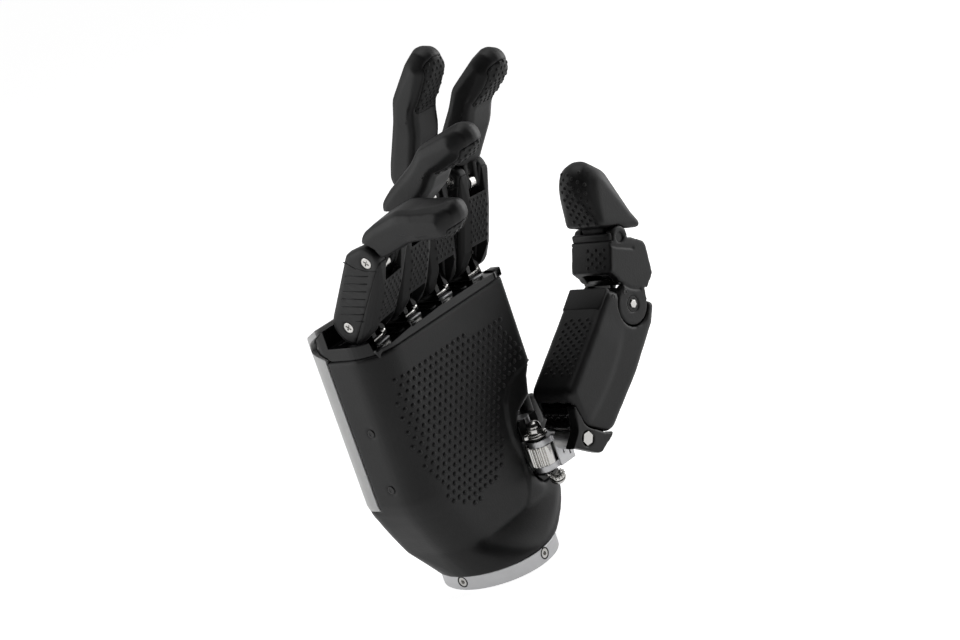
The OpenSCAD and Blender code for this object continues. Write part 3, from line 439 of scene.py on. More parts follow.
def make_cover(colours):
    """The back cover."""
    return plastic(
        "Pale Cover", colours.cover, rough=0.42, spread=0.05, grain=1500, depth=1.5e-5,
        radius=0.6 * MM, wear=0.3, worn=(0.8, 0.8, 0.79), smear=0.0)


def make_alloy(colours):
    """The flange, the bracket and the motors' cans."""
    return metal("Blasted Alloy", colours.alloy, rough=0.4, spread=0.05, across=700,
                 depth=0.8e-5, radius=0.4 * MM)


def make_steel(colours):
    """Screws, pins, couplers and the gears."""
    return metal("Bright Steel", colours.steel, rough=0.19, spread=0.05, across=1500,
                 depth=0.3e-5, radius=0.3 * MM)


def make_board(colours):
    """Circuit board: green mask over tracks in both directions, with tinned pads."""
    material, tree, shader, vector = start_material("Circuit Board")
    brick = tree.nodes.new("ShaderNodeTexBrick")
    feed(tree, brick, Vector=vector, Scale=260.0, Color1=(*colours.board, 1),
         Color2=(*scaled(colours.board, 0.6), 1), Mortar=(0.05, 0.16, 0.07, 1))
    dots = tree.nodes.new("ShaderNodeTexVoronoi")
    feed(tree, dots, Vector=vector, Scale=420.0)
    pads = range_node(tree, dots.outputs["Distance"], 0.22, 0.18, 0.0, 1.0)
    feed(tree, shader, Metallic=pads, Roughness=range_node(tree, pads, 0.0, 1.0, 0.35, 0.25),
         Base_Color=mixed_colour(tree, pads, brick.outputs["Color"], (0.55, 0.53, 0.48)),
         Normal=bump_node(tree, brick.outputs["Fac"], None, 3e-5))
    return material


MAKERS = {"black_shell": make_shell, "grip_black": make_grip, "satin_black": make_satin,
          "gloss_black": make_gloss, "white_cover": make_cover, "alloy": make_alloy,
          "steel": make_steel, "board": make_board}
MATERIALS = {}


def finish(slot):
    """The material of a slot, made once."""
    if slot not in MATERIALS:
        MATERIALS[slot] = MAKERS[slot](bpy.context.scene.hand_colours)
    return MATERIALS[slot]


SATIN = ("thumb_frame", "thumb_middle_frame", "thumb_knuckle_bush", "thumb_housing",
         "wrist_connector", "cover_screws", "thumb_tip_pin")
ALLOY = ("wrist_flange", "finger_actuators", "thumb_motor", "thumb_actuator",
         "thumb_bracket")
# Painted shade: the knuckle blocks are metal but take the gloss black finish, which paints the
# shade they mostly sit in.
PLAIN = {"knuckle_chassis": "gloss_black", "knuckle_blocks": "gloss_black",
         "back_cover": "white_cover", "control_board": "board"}


def slot_of(node):
    """The finish a CAD node takes."""
    if node in PLAIN:
        return PLAIN[node]
    if node in SATIN:
        return "satin_black"
    if node in ALLOY:
        return "alloy"
    if node.endswith(("_grip_cover", "_tip_pad")):
        return "grip_black"
    if node.endswith(("_shell", "_link_frame", "_middle_cover")):
        return "black_shell"
    return "steel"


# ---------- mesh helpers ----------

SURFACES = {}


def keep_surface(name, data):
    """Keeps a mesh's surface, for finding where a piece touches it."""
    SURFACES[name] = BVHTree.FromPolygons(
        [v.co for v in data.vertices], [list(p.vertices) for p in data.polygons])


def surface(name):
    """The surface of a node or of a skin made before."""
    if name not in SURFACES:
        keep_surface(name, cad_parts[name].data)
    return SURFACES[name]


def new_object(name, data):
    """An object of some data, in the scene."""
    made = bpy.data.objects.new(name, data)
    bpy.context.scene.collection.objects.link(made)
    return made


def keep_piece(bm, name, body, slot, sharp=35.0):
    """Makes the mesh a piece that rides on a body with a slot's finish."""
    bmesh.ops.recalc_face_normals(bm, faces=bm.faces)
    data = bpy.data.meshes.new(name)
    bm.to_mesh(data)
    bm.free()
    data.shade_smooth()
    data.set_sharp_from_angle(angle=math.radians(sharp))
    data.materials.append(finish(slot))
    piece = new_object(name, data)
    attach(piece, body)
    return piece


def add_stud(bm, at, normal, along, wide, long, high):
    """A low rounded stud, half sunk in the surface."""
    out = normal.normalized()
    up = (along - along.dot(out) * out).normalized()
    side = up.cross(out)
    turn = Matrix((side * wide, up * long, out * high)).transposed().to_4x4()
    bmesh.ops.create_uvsphere(bm, u_segments=10, v_segments=6, radius=1.0,
                              matrix=Matrix.Translation(at) @ turn)


def studs_from(bm, node, place, direction, along, points, size, facing=0.45):
    """Casts each local point along a local direction onto a node and puts a stud there."""
    turn = place.to_3x3()
    aim = (turn @ Vector(direction)).normalized()
    up = turn @ Vector(along)
    wide, long, high = size
    met = False
    for point in points:
        hit, normal, _, _ = surface(node).ray_cast(place @ (Vector(point) * MM), aim, 0.08)
        if hit is not None and normal.dot(-aim) > facing:
            add_stud(bm, hit, normal, up, wide, long, high)
            met = True
    if not met:
        raise RuntimeError(f"no stud met {node}")


def lattice(pitch, x_range, z_range):
    """Points of a triangular lattice with rows along x."""
    row = pitch * math.sqrt(3) / 2
    points = []
    for k in range(int((z_range[1] - z_range[0]) / row) + 1):
        x = x_range[0] + (pitch / 2 if k % 2 else 0)
        while x <= x_range[1]:
            points.append((x, z_range[0] + k * row))
            x += pitch
    return points


def inside(point, outline):
    """Whether a point lies in a polygon."""
    x, y = point
    result = False
    for (x1, y1), (x2, y2) in zip(outline, outline[1:] + outline[:1]):
        if (y1 > y) != (y2 > y) and x < (x2 - x1) * (y - y1) / (y2 - y1) + x1:
            result = not result
    return result


def smooth_step(value):
    """Eases from 0 to 1."""
    value = min(1.0, max(0.0, value))
    return value * value * (3 - 2 * value)


def add_box(bm, place, low, high, bevel=0.15, segments=2):
    """A box between two local corners in millimetres, with its edges rounded."""
    low, high = Vector(low) * MM, Vector(high) * MM
    size = high - low
    shape = place @ Matrix.Translation((low + high) / 2) @ Matrix.Diagonal((*size, 1))
    made = bmesh.ops.create_cube(bm, size=1.0, matrix=shape)["verts"]
    edges = list({e for v in made for e in v.link_edges})
    bmesh.ops.bevel(bm, geom=edges, offset=bevel * MM, segments=segments, profile=0.5,
                    affect="EDGES", material=-1)


def box_piece(name, body, slot, place, *boxes):
    """A piece of boxes, each with its corners, bevel and segments."""
    bm = bmesh.new()
    for box in boxes:
        add_box(bm, place, *box)
    keep_piece(bm, name, body, slot)


def add_turned(bm, place, profile, segments=32):
    """Spins a profile of (radius, height) pairs in millimetres round the local z.

    What the mesh already holds stays where it is only if its vertices are tagged.
    """
    verts = [bm.verts.new((r * MM, 0, z * MM)) for r, z in profile]
    edges = [bm.edges.new(pair) for pair in zip(verts, verts[1:])]
    bmesh.ops.spin(bm, geom=verts + edges, axis=(0, 0, 1), cent=(0, 0, 0),
                   angle=math.tau, steps=segments, use_merge=True)
    fresh = [v for v in bm.verts if not v.tag]
    bmesh.ops.remove_doubles(bm, verts=fresh, dist=1e-6)
    fresh = [v for v in bm.verts if not v.tag]
    bmesh.ops.transform(bm, matrix=place, verts=fresh)
    for v in fresh:
        v.tag = True


def near_side(node, place, x, z):
    """The local point where a line along the hinge first meets a node, or None."""
    hit, _, _, _ = surface(node).ray_cast(place @ Vector((x * MM, -0.03, z * MM)),
                                          place.to_3x3() @ Vector((0, 1, 0)), 0.05)
    return None if hit is None else place.inverted() @ hit / MM


def melted(nodes, voxel, rounds):
    """The nodes' meshes fused into one, with their edges melted round."""
    bm = bmesh.new()
    for node in nodes:
        bm.from_mesh(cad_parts[node].data)
    bmesh.ops.remove_doubles(bm, verts=bm.verts, dist=2e-6)
    data = bpy.data.meshes.new("rough")
    bm.to_mesh(data)
    bm.free()
    rough = new_object("rough", data)
    remesh = rough.modifiers.new("remesh", "REMESH")
    remesh.mode = "VOXEL"
    remesh.voxel_size = voxel * MM
    smooth = rough.modifiers.new("smooth", "SMOOTH")
    smooth.factor = 0.5
    smooth.iterations = rounds
    settled = rough.evaluated_get(bpy.context.evaluated_depsgraph_get())
    bm = bmesh.new()
    bm.from_mesh(settled.to_mesh())
    settled.to_mesh_clear()
    bpy.data.objects.remove(rough)
    bpy.data.meshes.remove(data)
    return bm


def reshape(bm, place, rule):
    """Moves every vertex by a rule on its local place in millimetres."""
    back = place.inverted()
    for v in bm.verts:
        v.co = place @ (rule(back @ v.co / MM) * MM)


def skin(nodes, name, body, slot, voxel, rounds, place=None, rule=None):
    """A melted copy of some nodes of one body, which stands for them."""
    bm = melted(nodes, voxel, rounds)
    if rule:
        reshape(bm, place, rule)
    piece = keep_piece(bm, name, body, slot, 60.0)
    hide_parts(*nodes)
    keep_surface(name, piece.data)


# ---------- outlines and seams ----------

# The palm's field of studs, and the crease between its panel and the thumb's root, as (x, z).
PALM_FIELD = [(-31.7, 90.4), (-3.1, 89.1), (29.1, 85.8), (34.8, 68), (28, 65.5), (19, 62.5),
              (12.5, 54), (9.5, 45.8), (8.5, 38), (-2, 33.5), (-16.2, 30.5), (-24.2, 36),
              (-30.3, 48), (-33.5, 59.9), (-34.1, 72.1)]
CREASE = [(36.5, 65.2), (31.7, 64.9), (26.5, 64.2), (20.5, 61.8), (16.3, 57), (14.2, 50.6),
          (13.6, 44.5), (14.6, 38), (15.8, 32.5), (15.6, 28.5), (14.7, 25), (13.2, 21.6),
          (10.6, 18.9), (6, 17.8), (-2, 17.6), (-10, 17.8), (-16, 18), (-21, 18.8), (-26, 20.6)]
# Seams on the sides of the thumb's middle link, as its own (x, z).
COVER_SEAM = [(11.0, 8.2), (10.2, 6.4), (9.1, 4.0), (7.3, 1.6), (5.9, -0.6), (5.0, -3),
              (4.4, -5.6)]
COLLAR_SEAM = [(24.0, 6.6), (22.9, 3), (22.0, 0), (21.1, -3), (20.2, -6)]
# A finger link's side: its slanted ribs, and the seam under the upper pivot as (y, z).
FLANK_X = 8.5
RIBS = 7
RIB_SLANT = -36.9
FLANK_SEAM = [(8.4, 26.4), (3.4, 26.9), (-1.6, 29.2), (-4.5, 31.4)]


# ---------- rules for moulded shapes ----------

def tip_rule(length, lean):
    """Where a moulded fingertip's points lie: its bend is high and its pad short."""
    root = 8
    bend = 0.455 * length
    high = 0.6 * length

    def rule(p):
        z = p.z
        if root < z <= bend:
            z = root + (z - root) * (high - root) / (bend - root)
        elif z > bend:
            z = high + (z - bend) * (length - high) / (length - bend)
        rise = smooth_step((z - 0.42 * length) / (0.22 * length))
        y = p.y + lean * rise * (1 - 0.3 * smooth_step((z / length - 0.85) / 0.15))
        if p.y < 8:
            y += 0.9 * math.exp(-((z - high + 1.5) / 5) ** 2)
        return Vector((p.x, y, z))
    return rule


def thumb_tip_rule(p):
    """Rounds the thumb's tip out over its grip side and spreads its heel."""
    out = 1.5 * math.exp(-((p.x - 21) / 9) ** 2) * smooth_step((p.z + 2) / 8)
    tuck = -0.9 * (1 - smooth_step(p.x / 6)) * smooth_step((p.z - 1) / 4)
    heel = -1.1 * (1 - smooth_step(p.x / 7)) * smooth_step((-p.z - 6) / 4)
    return Vector((p.x - 0.3 * (1 - smooth_step(p.x / 7)), p.y, p.z + out + tuck + heel))


def thumb_first_rule(p):
    """Raises the grip side of the thumb's near flank past a long curved edge."""
    if p.y > -8:
        return p
    edge = -0.9 + 0.0059 * (p.x - 28) ** 2
    proud = 0.45 * smooth_step((p.z - edge + 2.0) / 4.0)
    proud *= smooth_step((p.x - 1) / 9) * smooth_step((48 - p.x) / 12)
    return Vector((p.x, p.y - proud, p.z))


def thumb_middle_rule(p):
    """Draws the grip side of the thumb's middle link in and cuts its cover's seams."""
    draw = -1.1 * smooth_step((p.z - 2) / 5) * smooth_step((p.x - 8) / 4)
    seam = min(line_distance(p.x, p.z, line) for line in (COVER_SEAM, COLLAR_SEAM))
    cut = 0.55 * (1 - smooth_step(seam / 0.75)) if abs(p.y) > 7 else 0
    return Vector((p.x, p.y - math.copysign(cut, p.y), p.z + draw))


def thumb_foot_rule(p):
    """Narrows the foot of the thumb's frame towards its hinge."""
    floor = 4.6
    if p.z <= floor:
        return p
    share = 0.15 + 0.85 * smooth_step((p.x + 2) / 12)
    return Vector((p.x, p.y, floor + (p.z - floor) * share))


def on_panel(x, z):
    """True on the palm's flat panel, left of and above the crease."""
    return inside((x, z), [*CREASE, (-40, 22), (-60, 200), (60, 200), (60, CREASE[0][1])])


def line_distance(x, z, line):
    """How far a point lies from a line of points."""
    best = math.inf
    spot = Vector((x, z))
    for first, second in zip(line, line[1:]):
        a, b = Vector(first), Vector(second)
        share = max(0.0, min(1.0, (spot - a).dot(b - a) / (b - a).length_squared))
        best = min(best, (spot - a.lerp(b, share)).length)
    return best


# ---------- operators ----------

class HAND_OT_palm_studs(Operator):
    """Adds the field of raised studs on the palm's front"""

    bl_idname = "hand.palm_studs"
    bl_label = "Palm Studs"

    def execute(self, context):
        sizes = context.scene.hand_grips
        bm = bmesh.new()
        points = [(x, -40, z) for x, z in lattice(sizes.palm_pitch / MM, (-36, 37), (29, 91))
                  if inside((x, z), PALM_FIELD)]
        size = (sizes.palm_radius, sizes.palm_radius, sizes.palm_height)
        studs_from(bm, "palm_shell", WHOLE, (0, 1, 0), (0, 0, 1), points, size)
        keep_piece(bm, "palm_studs", "palm", "black_shell")
        return {"FINISHED"}


class HAND_OT_finger_studs(Operator):
    """Adds the staggered studs on each finger's grip cover"""

    bl_idname = "hand.finger_studs"
    bl_label = "Finger Studs"

    def execute(self, context):
        sizes = context.scene.hand_grips
        size = (sizes.finger_radius, sizes.finger_radius * 1.35, sizes.finger_height)
        for i, finger in enumerate(FINGERS):
            bm = bmesh.new()
            points = [(x, -25, z)
                      for x, z in lattice(sizes.finger_pitch / MM, (-4.6, 4.7), (5, 27))]
            studs_from(bm, f"{finger}_grip_cover", link_place(i), (0, 1, 0), (0, 0, 1),
                       points, size, 0.8)
            keep_piece(bm, f"{finger}_link_studs", f"{finger}_link", "grip_black")
        return {"FINISHED"}


class HAND_OT_tip_studs(Operator):
    """Adds the studs on the fingertips' pads"""

    bl_idname = "hand.tip_studs"
    bl_label = "Fingertip Studs"

    def execute(self, context):
        sizes = context.scene.hand_grips
        size = (sizes.finger_radius, sizes.finger_radius * 1.3, sizes.finger_height)
        for i, finger in enumerate(FINGERS):
            bm = bmesh.new()
            points = [(x, -45, z) for x, z in lattice(
                sizes.finger_pitch / MM, (-4.6, 4.7), (0.62 * TIP_LEN[i], TIP_LEN[i] - 1))]
            studs_from(bm, f"{finger}_tip_pad_skin", tip_place(i), (0, 1, 0), (0, 0, 1),
                       points, size, 0.35)
            keep_piece(bm, f"{finger}_tip_studs", f"{finger}_tip", "grip_black")
        return {"FINISHED"}


class HAND_OT_thumb_studs(Operator):
    """Adds the studs on the inner faces of the thumb's links and tip"""

    bl_idname = "hand.thumb_studs"
    bl_label = "Thumb Studs"

    def execute(self, context):
        sizes = context.scene.hand_grips
        size = (sizes.thumb_radius, sizes.thumb_radius * 1.15, sizes.finger_height * 1.3)
        stretch, squeeze = 1.3, 0.77
        for name, node, body, place, x_range, y_range in (
                ("thumb_first_studs", "thumb_first_skin", "thumb_first", THUMB_LINK,
                 (18, 42.5), (-7.6, 6.2)),
                ("thumb_middle_studs", "thumb_middle_skin", "thumb_middle", THUMB_MIDDLE,
                 (16.2, 23.2), (-6.6, 2.5)),
                ("thumb_tip_studs", "thumb_tip_skin", "thumb_tip", THUMB_TIP,
                 (8, 30), (-6.6, 5.8))):
            bm = bmesh.new()
            points = [(x, y * squeeze, 40) for x, y in lattice(
                stretch * sizes.thumb_pitch / MM, x_range, [y / squeeze for y in y_range])]
            studs_from(bm, node, place, (0, 0, -1), (1, 0, 0), points, size, 0.5)
            keep_piece(bm, name, body, "grip_black")
        return {"FINISHED"}


class HAND_OT_palm_skin(Operator):
    """Moulds the palm's shell, with the thumb's root and heel raised round its panel"""

    bl_idname = "hand.palm_skin"
    bl_label = "Palm Skin"

    def execute(self, context):
        height = context.scene.hand_grips.root_height
        bm = melted(["palm_shell"], 0.72, 4)
        heel = [v for v in bm.verts if 2 < v.co.z / MM < 36]
        for _ in range(40):
            bmesh.ops.smooth_vert(bm, verts=heel, factor=0.5, use_axis_x=False,
                                  use_axis_y=True, use_axis_z=False)
        bm.normal_update()
        moves = []
        for v in bm.verts:
            x, y, z = v.co / MM
            if y > -7 or z > 66 or z < 7 or v.normal.y > -0.25 or on_panel(x, z):
                continue
            rise = smooth_step(line_distance(x, z, CREASE) / 1.1)
            rise *= smooth_step((z - 7) / 7) * smooth_step((x + 27) / 16)
            rise *= 0.25 + 0.75 * smooth_step((z - 19) / 10)
            rise *= smooth_step((-v.normal.y - 0.25) / 0.35)
            moves.append((v, rise * height))
        for v, move in moves:
            v.co.y -= move
        piece = keep_piece(bm, "palm_skin", "palm", "black_shell", 60)
        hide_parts("palm_shell")
        box_piece("recess_cheek", "palm", "black_shell", WHOLE,
                  ((31.5, -7.4, 43.5), (36.6, -3, 58), 1.6, 4))
        box_piece("recess_wall", "palm", "satin_black", WHOLE,
                  ((33, -6, 38), (41, -3, 50.3), 1.2, 3),
                  ((36, -5.8, 35), (44.2, -3.2, 46.5), 1.2, 3))
        return {"FINISHED"}


class HAND_OT_soft_tips(Operator):
    """Melts the moulded edges of the fingertips and the thumb's shells round"""

    bl_idname = "hand.soft_tips"
    bl_label = "Soft Moulded Edges"

    def execute(self, context):
        for i, finger in enumerate(FINGERS):
            for part, slot in (("shell", "black_shell"), ("pad", "grip_black")):
                skin([f"{finger}_tip_{part}"], f"{finger}_tip_{part}_skin", f"{finger}_tip",
                     slot, 0.42, 4, tip_place(i), tip_rule(TIP_LEN[i], TIP_LEAN[i]))
        skin(["thumb_tip_shell", "thumb_tip_pad"], "thumb_tip_skin", "thumb_tip",
             "black_shell", 0.5, 14, THUMB_TIP, thumb_tip_rule)
        skin(["thumb_shell"], "thumb_first_skin", "thumb_first", "black_shell", 0.6, 5,
             THUMB_LINK, thumb_first_rule)
        skin(["thumb_frame"], "thumb_foot_skin", "thumb_first", "satin_black", 0.45, 4,
             THUMB_LINK, thumb_foot_rule)
        skin(["thumb_middle_cover", "thumb_middle_frame"], "thumb_middle_skin",
             "thumb_middle", "black_shell", 0.42, 5, THUMB_MIDDLE, thumb_middle_rule)
        return {"FINISHED"}


class HAND_OT_thumb_trim(Operator):
    """Adds the collar, dark knuckle core and stepped mouth of the thumb's links"""

    bl_idname = "hand.thumb_trim"
    bl_label = "Thumb Trim"

    def execute(self, context):
        box_piece("thumb_collar", "thumb_middle", "black_shell", THUMB_MIDDLE,
                  ((25.3, -9.7, 3.4), (28.4, 9.7, 5.3), 0.8, 4))
        box_piece("thumb_knuckle_core", "thumb_middle", "gloss_black", THUMB_MIDDLE,
                  ((8.3, -9.0, -3.5), (10.6, 9.0, 4.4), 0.5, 2))
        box_piece("thumb_mouth_step", "thumb_first", "black_shell", THUMB_LINK,
                  ((45.6, -9.6, 12.4), (55, 9.6, 15.2), 0.7, 3))
        return {"FINISHED"}


class HAND_OT_thumb_screws(Operator):
    """Adds gloss black discs that paint the shade of two screw sockets, and the bright hexagon, on
    the thumb's near side
    """

    bl_idname = "hand.thumb_screws"
    bl_label = "Thumb Screws"

    def execute(self, context):
        for name, node, body, place, x, z, r in (
                ("thumb_socket_shade", "thumb_first_skin", "thumb_first", THUMB_LINK, 53.2, 10.9, 0.95),
                ("lobe_socket_shade", "thumb_middle_skin", "thumb_middle", THUMB_MIDDLE, 5.4, 3.1, 1.1)):
            spot = next(hit for k in range(12)
                        if (hit := near_side(node, place, x - 0.4 * k, z - 0.4 * k)))
            bm = bmesh.new()
            add_turned(bm, place @ shifted(*spot) @ turned("X", 90),
                       [(0, 0.02), (0.5 * r, 0.02), (0.55 * r, 0.12), (r, 0.12),
                        (1.1 * r, 0.02), (1.15 * r, -0.5), (0, -0.5)], 24)
            # Painted shade: each gloss black disc stands for the shade inside a screw socket.
            keep_piece(bm, name, body, "gloss_black", 30)
        bm = bmesh.new()
        place = THUMB_MIDDLE @ shifted(0, spot.y + 0.6, 0)
        bmesh.ops.create_cone(
            bm, cap_ends=True, segments=6, radius1=1.75 * MM, radius2=1.65 * MM, depth=1.6 * MM,
            matrix=place @ turned("X", 90) @ turned("Z", 43))
        keep_piece(bm, "knuckle_hexagon", "thumb_middle", "steel", 30)
        return {"FINISHED"}


class HAND_OT_finger_flanks(Operator):
    """Moulds the finger links' sides, with slanted ribs and a seam under the pivot"""

    bl_idname = "hand.finger_flanks"
    bl_label = "Finger Flanks"

    def execute(self, context):
        for i, finger in enumerate(FINGERS):
            skin([f"{finger}_link_frame"], f"{finger}_flank_skin", f"{finger}_link",
                 "black_shell", 0.5, 4)
            bm = bmesh.new()
            place = link_place(i)
            for side in (-1, 1):
                x = side * FLANK_X
                for k in range(RIBS):
                    last = k == RIBS - 1
                    half = 2.0 if last else 5.4
                    middle = (x, 2.3 - 0.46 * k - (3.2 if last else 0),
                              24.0 - 3.43 * k + (2.6 if last else 0))
                    rib = place @ shifted(*middle) @ turned("X", RIB_SLANT)
                    add_box(bm, rib, (-0.22, -half, -0.2), (0.22, half, 0.2), 0.12, 2)
                for first, second in zip(FLANK_SEAM, FLANK_SEAM[1:]):
                    a, b = Vector((x, *first)), Vector((x, *second))
                    angle = math.degrees(math.atan2(b.z - a.z, b.y - a.y))
                    line = place @ shifted(*((a + b) / 2)) @ turned("X", angle)
                    half = (b - a).length / 2 + 0.1
                    add_box(bm, line, (-0.16, -half, -0.25), (0.16, half, 0.25), 0.1, 2)
            keep_piece(bm, f"{finger}_flank_ribs", f"{finger}_link", "black_shell")
        return {"FINISHED"}


class HAND_OT_coupler_pins(Operator):
    """Adds the dark coupler pins with a bright collar at each end"""

    bl_idname = "hand.coupler_pins"
    bl_label = "Coupler Pins"

    def execute(self, context):
        for i, finger in enumerate(FINGERS):
            low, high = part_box(f"{finger}_coupler_pin")
            middle = (low + high) / 2 / MM
            half = (high - low).x / 2 / MM - 0.2
            place = shifted(*middle) @ turned("Y", FAN[i] + 90)
            bm = bmesh.new()
            add_turned(bm, place, [(0, -half), (0.9, -half), (0.9, half), (0, half)], 20)
            dark = keep_piece(bm, f"{finger}_coupler_shaft", f"{finger}_tip", "satin_black")
            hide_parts(f"{finger}_coupler_pin")
            bm = bmesh.new()
            for side in (-1, 1):
                ends = sorted((side * (half - 1.9), side * (half + 0.1)))
                add_turned(bm, place, [(0.85, ends[0]), (1.35, ends[0] + 0.1),
                                       (1.4, ends[0] + 0.3), (1.4, ends[1] - 0.3),
                                       (1.2, ends[1]), (0, ends[1])], 24)
            keep_piece(bm, f"{finger}_coupler_collars", f"{finger}_tip", "steel")
        return {"FINISHED"}


class HAND_OT_side_screws(Operator):
    """Adds gloss black discs on the screws in the palm's sides, which paint the shade of their
    sockets
    """

    bl_idname = "hand.side_screws"
    bl_label = "Side Screws"

    def execute(self, context):
        bm = bmesh.new()
        for z, side in ((48.6, -1), (70.9, -1), (70.9, 1), (88, 1)):
            start = Vector((side * 0.06, 0.003, (z + 2) * MM))
            hit, normal, _, _ = surface("palm_shell").ray_cast(start, Vector((-side, 0, 0)), 0.05)
            if hit is None:
                raise RuntimeError("a side screw misses the palm")
            spot = Vector((side * abs(hit.x), 0.003, z * MM)) / MM
            place = shifted(*spot) @ turned("Y", 90 * side)
            add_turned(bm, place, [(0, 0.02), (0.7, 0.02), (0.75, 0.1), (1.45, 0.1),
                                   (1.55, 0.02), (1.6, -0.4), (0, -0.4)], 28)
        # Painted shade: the gloss black of these discs stands for the shade in and round the screw
        # sockets.
        keep_piece(bm, "side_screws", "palm", "gloss_black", 30)
        return {"FINISHED"}


class HAND_OT_knuckle_plates(Operator):
    """Adds the bright guide plates at the foot of each finger"""

    bl_idname = "hand.knuckle_plates"
    bl_label = "Knuckle Plates"

    def execute(self, context):
        bm = bmesh.new()
        for i in range(4):
            place = knuckle_place(i) @ shifted(-0.9, 0, 0)
            add_box(bm, place, (-3.6, -5.2, -8.6), (3.2, -4.5, -7.5), 0.2)
            add_box(bm, place, (1.4, -5.4, -8.0), (3.6, -4.3, -6.4), 0.4)
        keep_piece(bm, "knuckle_guides", "palm", "steel")
        bm = bmesh.new()
        for i in range(4):
            place = knuckle_place(i) @ shifted(-0.9, 0, 0)
            add_box(bm, place, (-3.7, -5.8, -11.0), (3.7, -4.5, -9.6), 0.25)
        keep_piece(bm, "knuckle_plates", "palm", "alloy")
        bm = bmesh.new()
        for i in range(4):
            place = knuckle_place(i)
            for side in (-1, 1):
                low, high = sorted((side * 4.0, side * 9.2))
                add_box(bm, place, (low, -9.4, -13.0), (high, -4.6, -9.4), 0.7, 3)
            add_box(bm, place, (-4.4, -9.4, -13.2), (4.4, -5.9, -11.2), 0.4, 2)
        keep_piece(bm, "knuckle_cradles", "palm", "gloss_black")
        return {"FINISHED"}


class HAND_OT_thumb_drive(Operator):
    """Adds the cap nut, washers and the small bevel wheel of the thumb's drive"""

    bl_idname = "hand.thumb_drive"
    bl_label = "Thumb Drive"

    def execute(self, context):
        low, high = (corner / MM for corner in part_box("yaw_nut"))
        middle = (low + high) / 2
        place = shifted(middle.x, middle.y, low.z)
        bm = bmesh.new()
        bmesh.ops.create_cone(
            bm, cap_ends=True, segments=6, radius1=3.3 * MM, radius2=3.2 * MM, depth=2.4 * MM,
            matrix=place @ shifted(0, 0, 1.2) @ turned("Z", 22))
        bmesh.ops.bevel(bm, geom=list(bm.edges), offset=0.25 * MM, segments=2, profile=0.5,
                        affect="EDGES", material=-1)
        for v in bm.verts:
            v.tag = True
        add_turned(bm, place, [(0, 2.2), (2.7, 2.2), (2.75, 2.7), (2.5, 3.5), (1.9, 4.2),
                               (1.0, 4.6), (0, 4.7)], 32)
        screw = place @ shifted(-5.2, 0.6, 0.2)
        add_turned(bm, screw, [(0, -0.6), (1.3, -0.6), (1.4, 0.6), (1.1, 1.3), (0, 1.6)], 20)
        nut = keep_piece(bm, "cap_nut", "palm", "steel", 32)
        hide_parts("yaw_nut")
        bm = bmesh.new()
        for z, r in ((-0.5, 3.9), (-1.3, 4.3)):
            add_turned(bm, place, [(1.6, z), (r - 0.2, z), (r, z + 0.15), (r, z + 0.4),
                                   (r - 0.2, z + 0.55), (1.6, z + 0.55), (1.6, z)], 40)
        keep_piece(bm, "thrust_washers", "palm", "steel", 40)
        foot = shifted(20.9, -21.6, 23.9) @ turned("X", 16) @ turned("Y", -12)
        bm = bmesh.new()
        add_turned(bm, foot, [(0, 2.5), (1.5, 2.5), (1.8, 2.3), (2.6, 0.9), (2.7, 0.5),
                              (2.4, 0), (0, 0)], 32)
        for k in range(14):
            turn = foot @ turned("Z", k * 360 / 14)
            add_box(bm, turn @ shifted(2.25, 0, 1.4) @ turned("Y", 28),
                    (-0.5, -0.24, -1.0), (0.5, 0.24, 1.0), 0.1, 1)
        keep_piece(bm, "bevel_wheel", "palm", "steel", 32)
        bm = bmesh.new()
        add_turned(bm, foot, [(0, -2.2), (1.2, -2.1), (2.2, -1.6), (2.9, -0.7), (3.1, 0.1),
                              (2.9, 0.3), (2.6, 0.1), (0, -0.1)], 40)
        keep_piece(bm, "wheel_dish", "palm", "steel", 32)
        return {"FINISHED"}


class HAND_OT_thumb_throat(Operator):
    """Adds the ribbed dark housing under the thumb's first link"""

    bl_idname = "hand.thumb_throat"
    bl_label = "Thumb Throat"

    def execute(self, context):
        ribs = [-5.4 + 3.6 * k for k in range(4)]
        box_piece("thumb_throat", "thumb_base", "gloss_black", THUMB_LINK,
                  ((0.5, -6.5, 3.6), (11, 6.5, 7.4), 0.8, 3),
                  ((4.5, -7.0, 7.0), (11, 7.0, 10.2), 0.8, 3),
                  *(((3.6, y - 0.5, 7.0), (9.5, y + 0.5, 9.9), 0.25, 2) for y in ribs))
        return {"FINISHED"}


class HAND_OT_flange_rings(Operator):
    """Adds gloss black rings round the wrist flange's screws, which paint the shade in their
    countersinks
    """

    bl_idname = "hand.flange_rings"
    bl_label = "Flange Countersinks"

    def execute(self, context):
        bm = bmesh.new()
        for k in range(4):
            place = turned("Z", 90 * k) @ shifted(22.45, 0, 3.3) @ turned("Y", 90)
            add_turned(bm, place, [(1.75, -0.3), (2.25, -0.3), (2.3, 0.12), (2.2, 0.2),
                                   (1.85, 0.2), (1.75, 0.12), (1.75, -0.3)], 32)
        # Painted shade: the gloss black rings stand for the shade in the countersinks of the alloy
        # flange.
        keep_piece(bm, "flange_countersink_shade", "palm", "gloss_black", 40)
        return {"FINISHED"}


class HAND_OT_finishes(Operator):
    """Gives every node of the frame its finish"""

    bl_idname = "hand.finishes"
    bl_label = "Finishes"

    def execute(self, context):
        for name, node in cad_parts.items():
            material = finish(slot_of(name))
            if not node.material_slots:
                node.data.materials.append(material)
            for held in node.material_slots:
                held.material = material
        return {"FINISHED"}


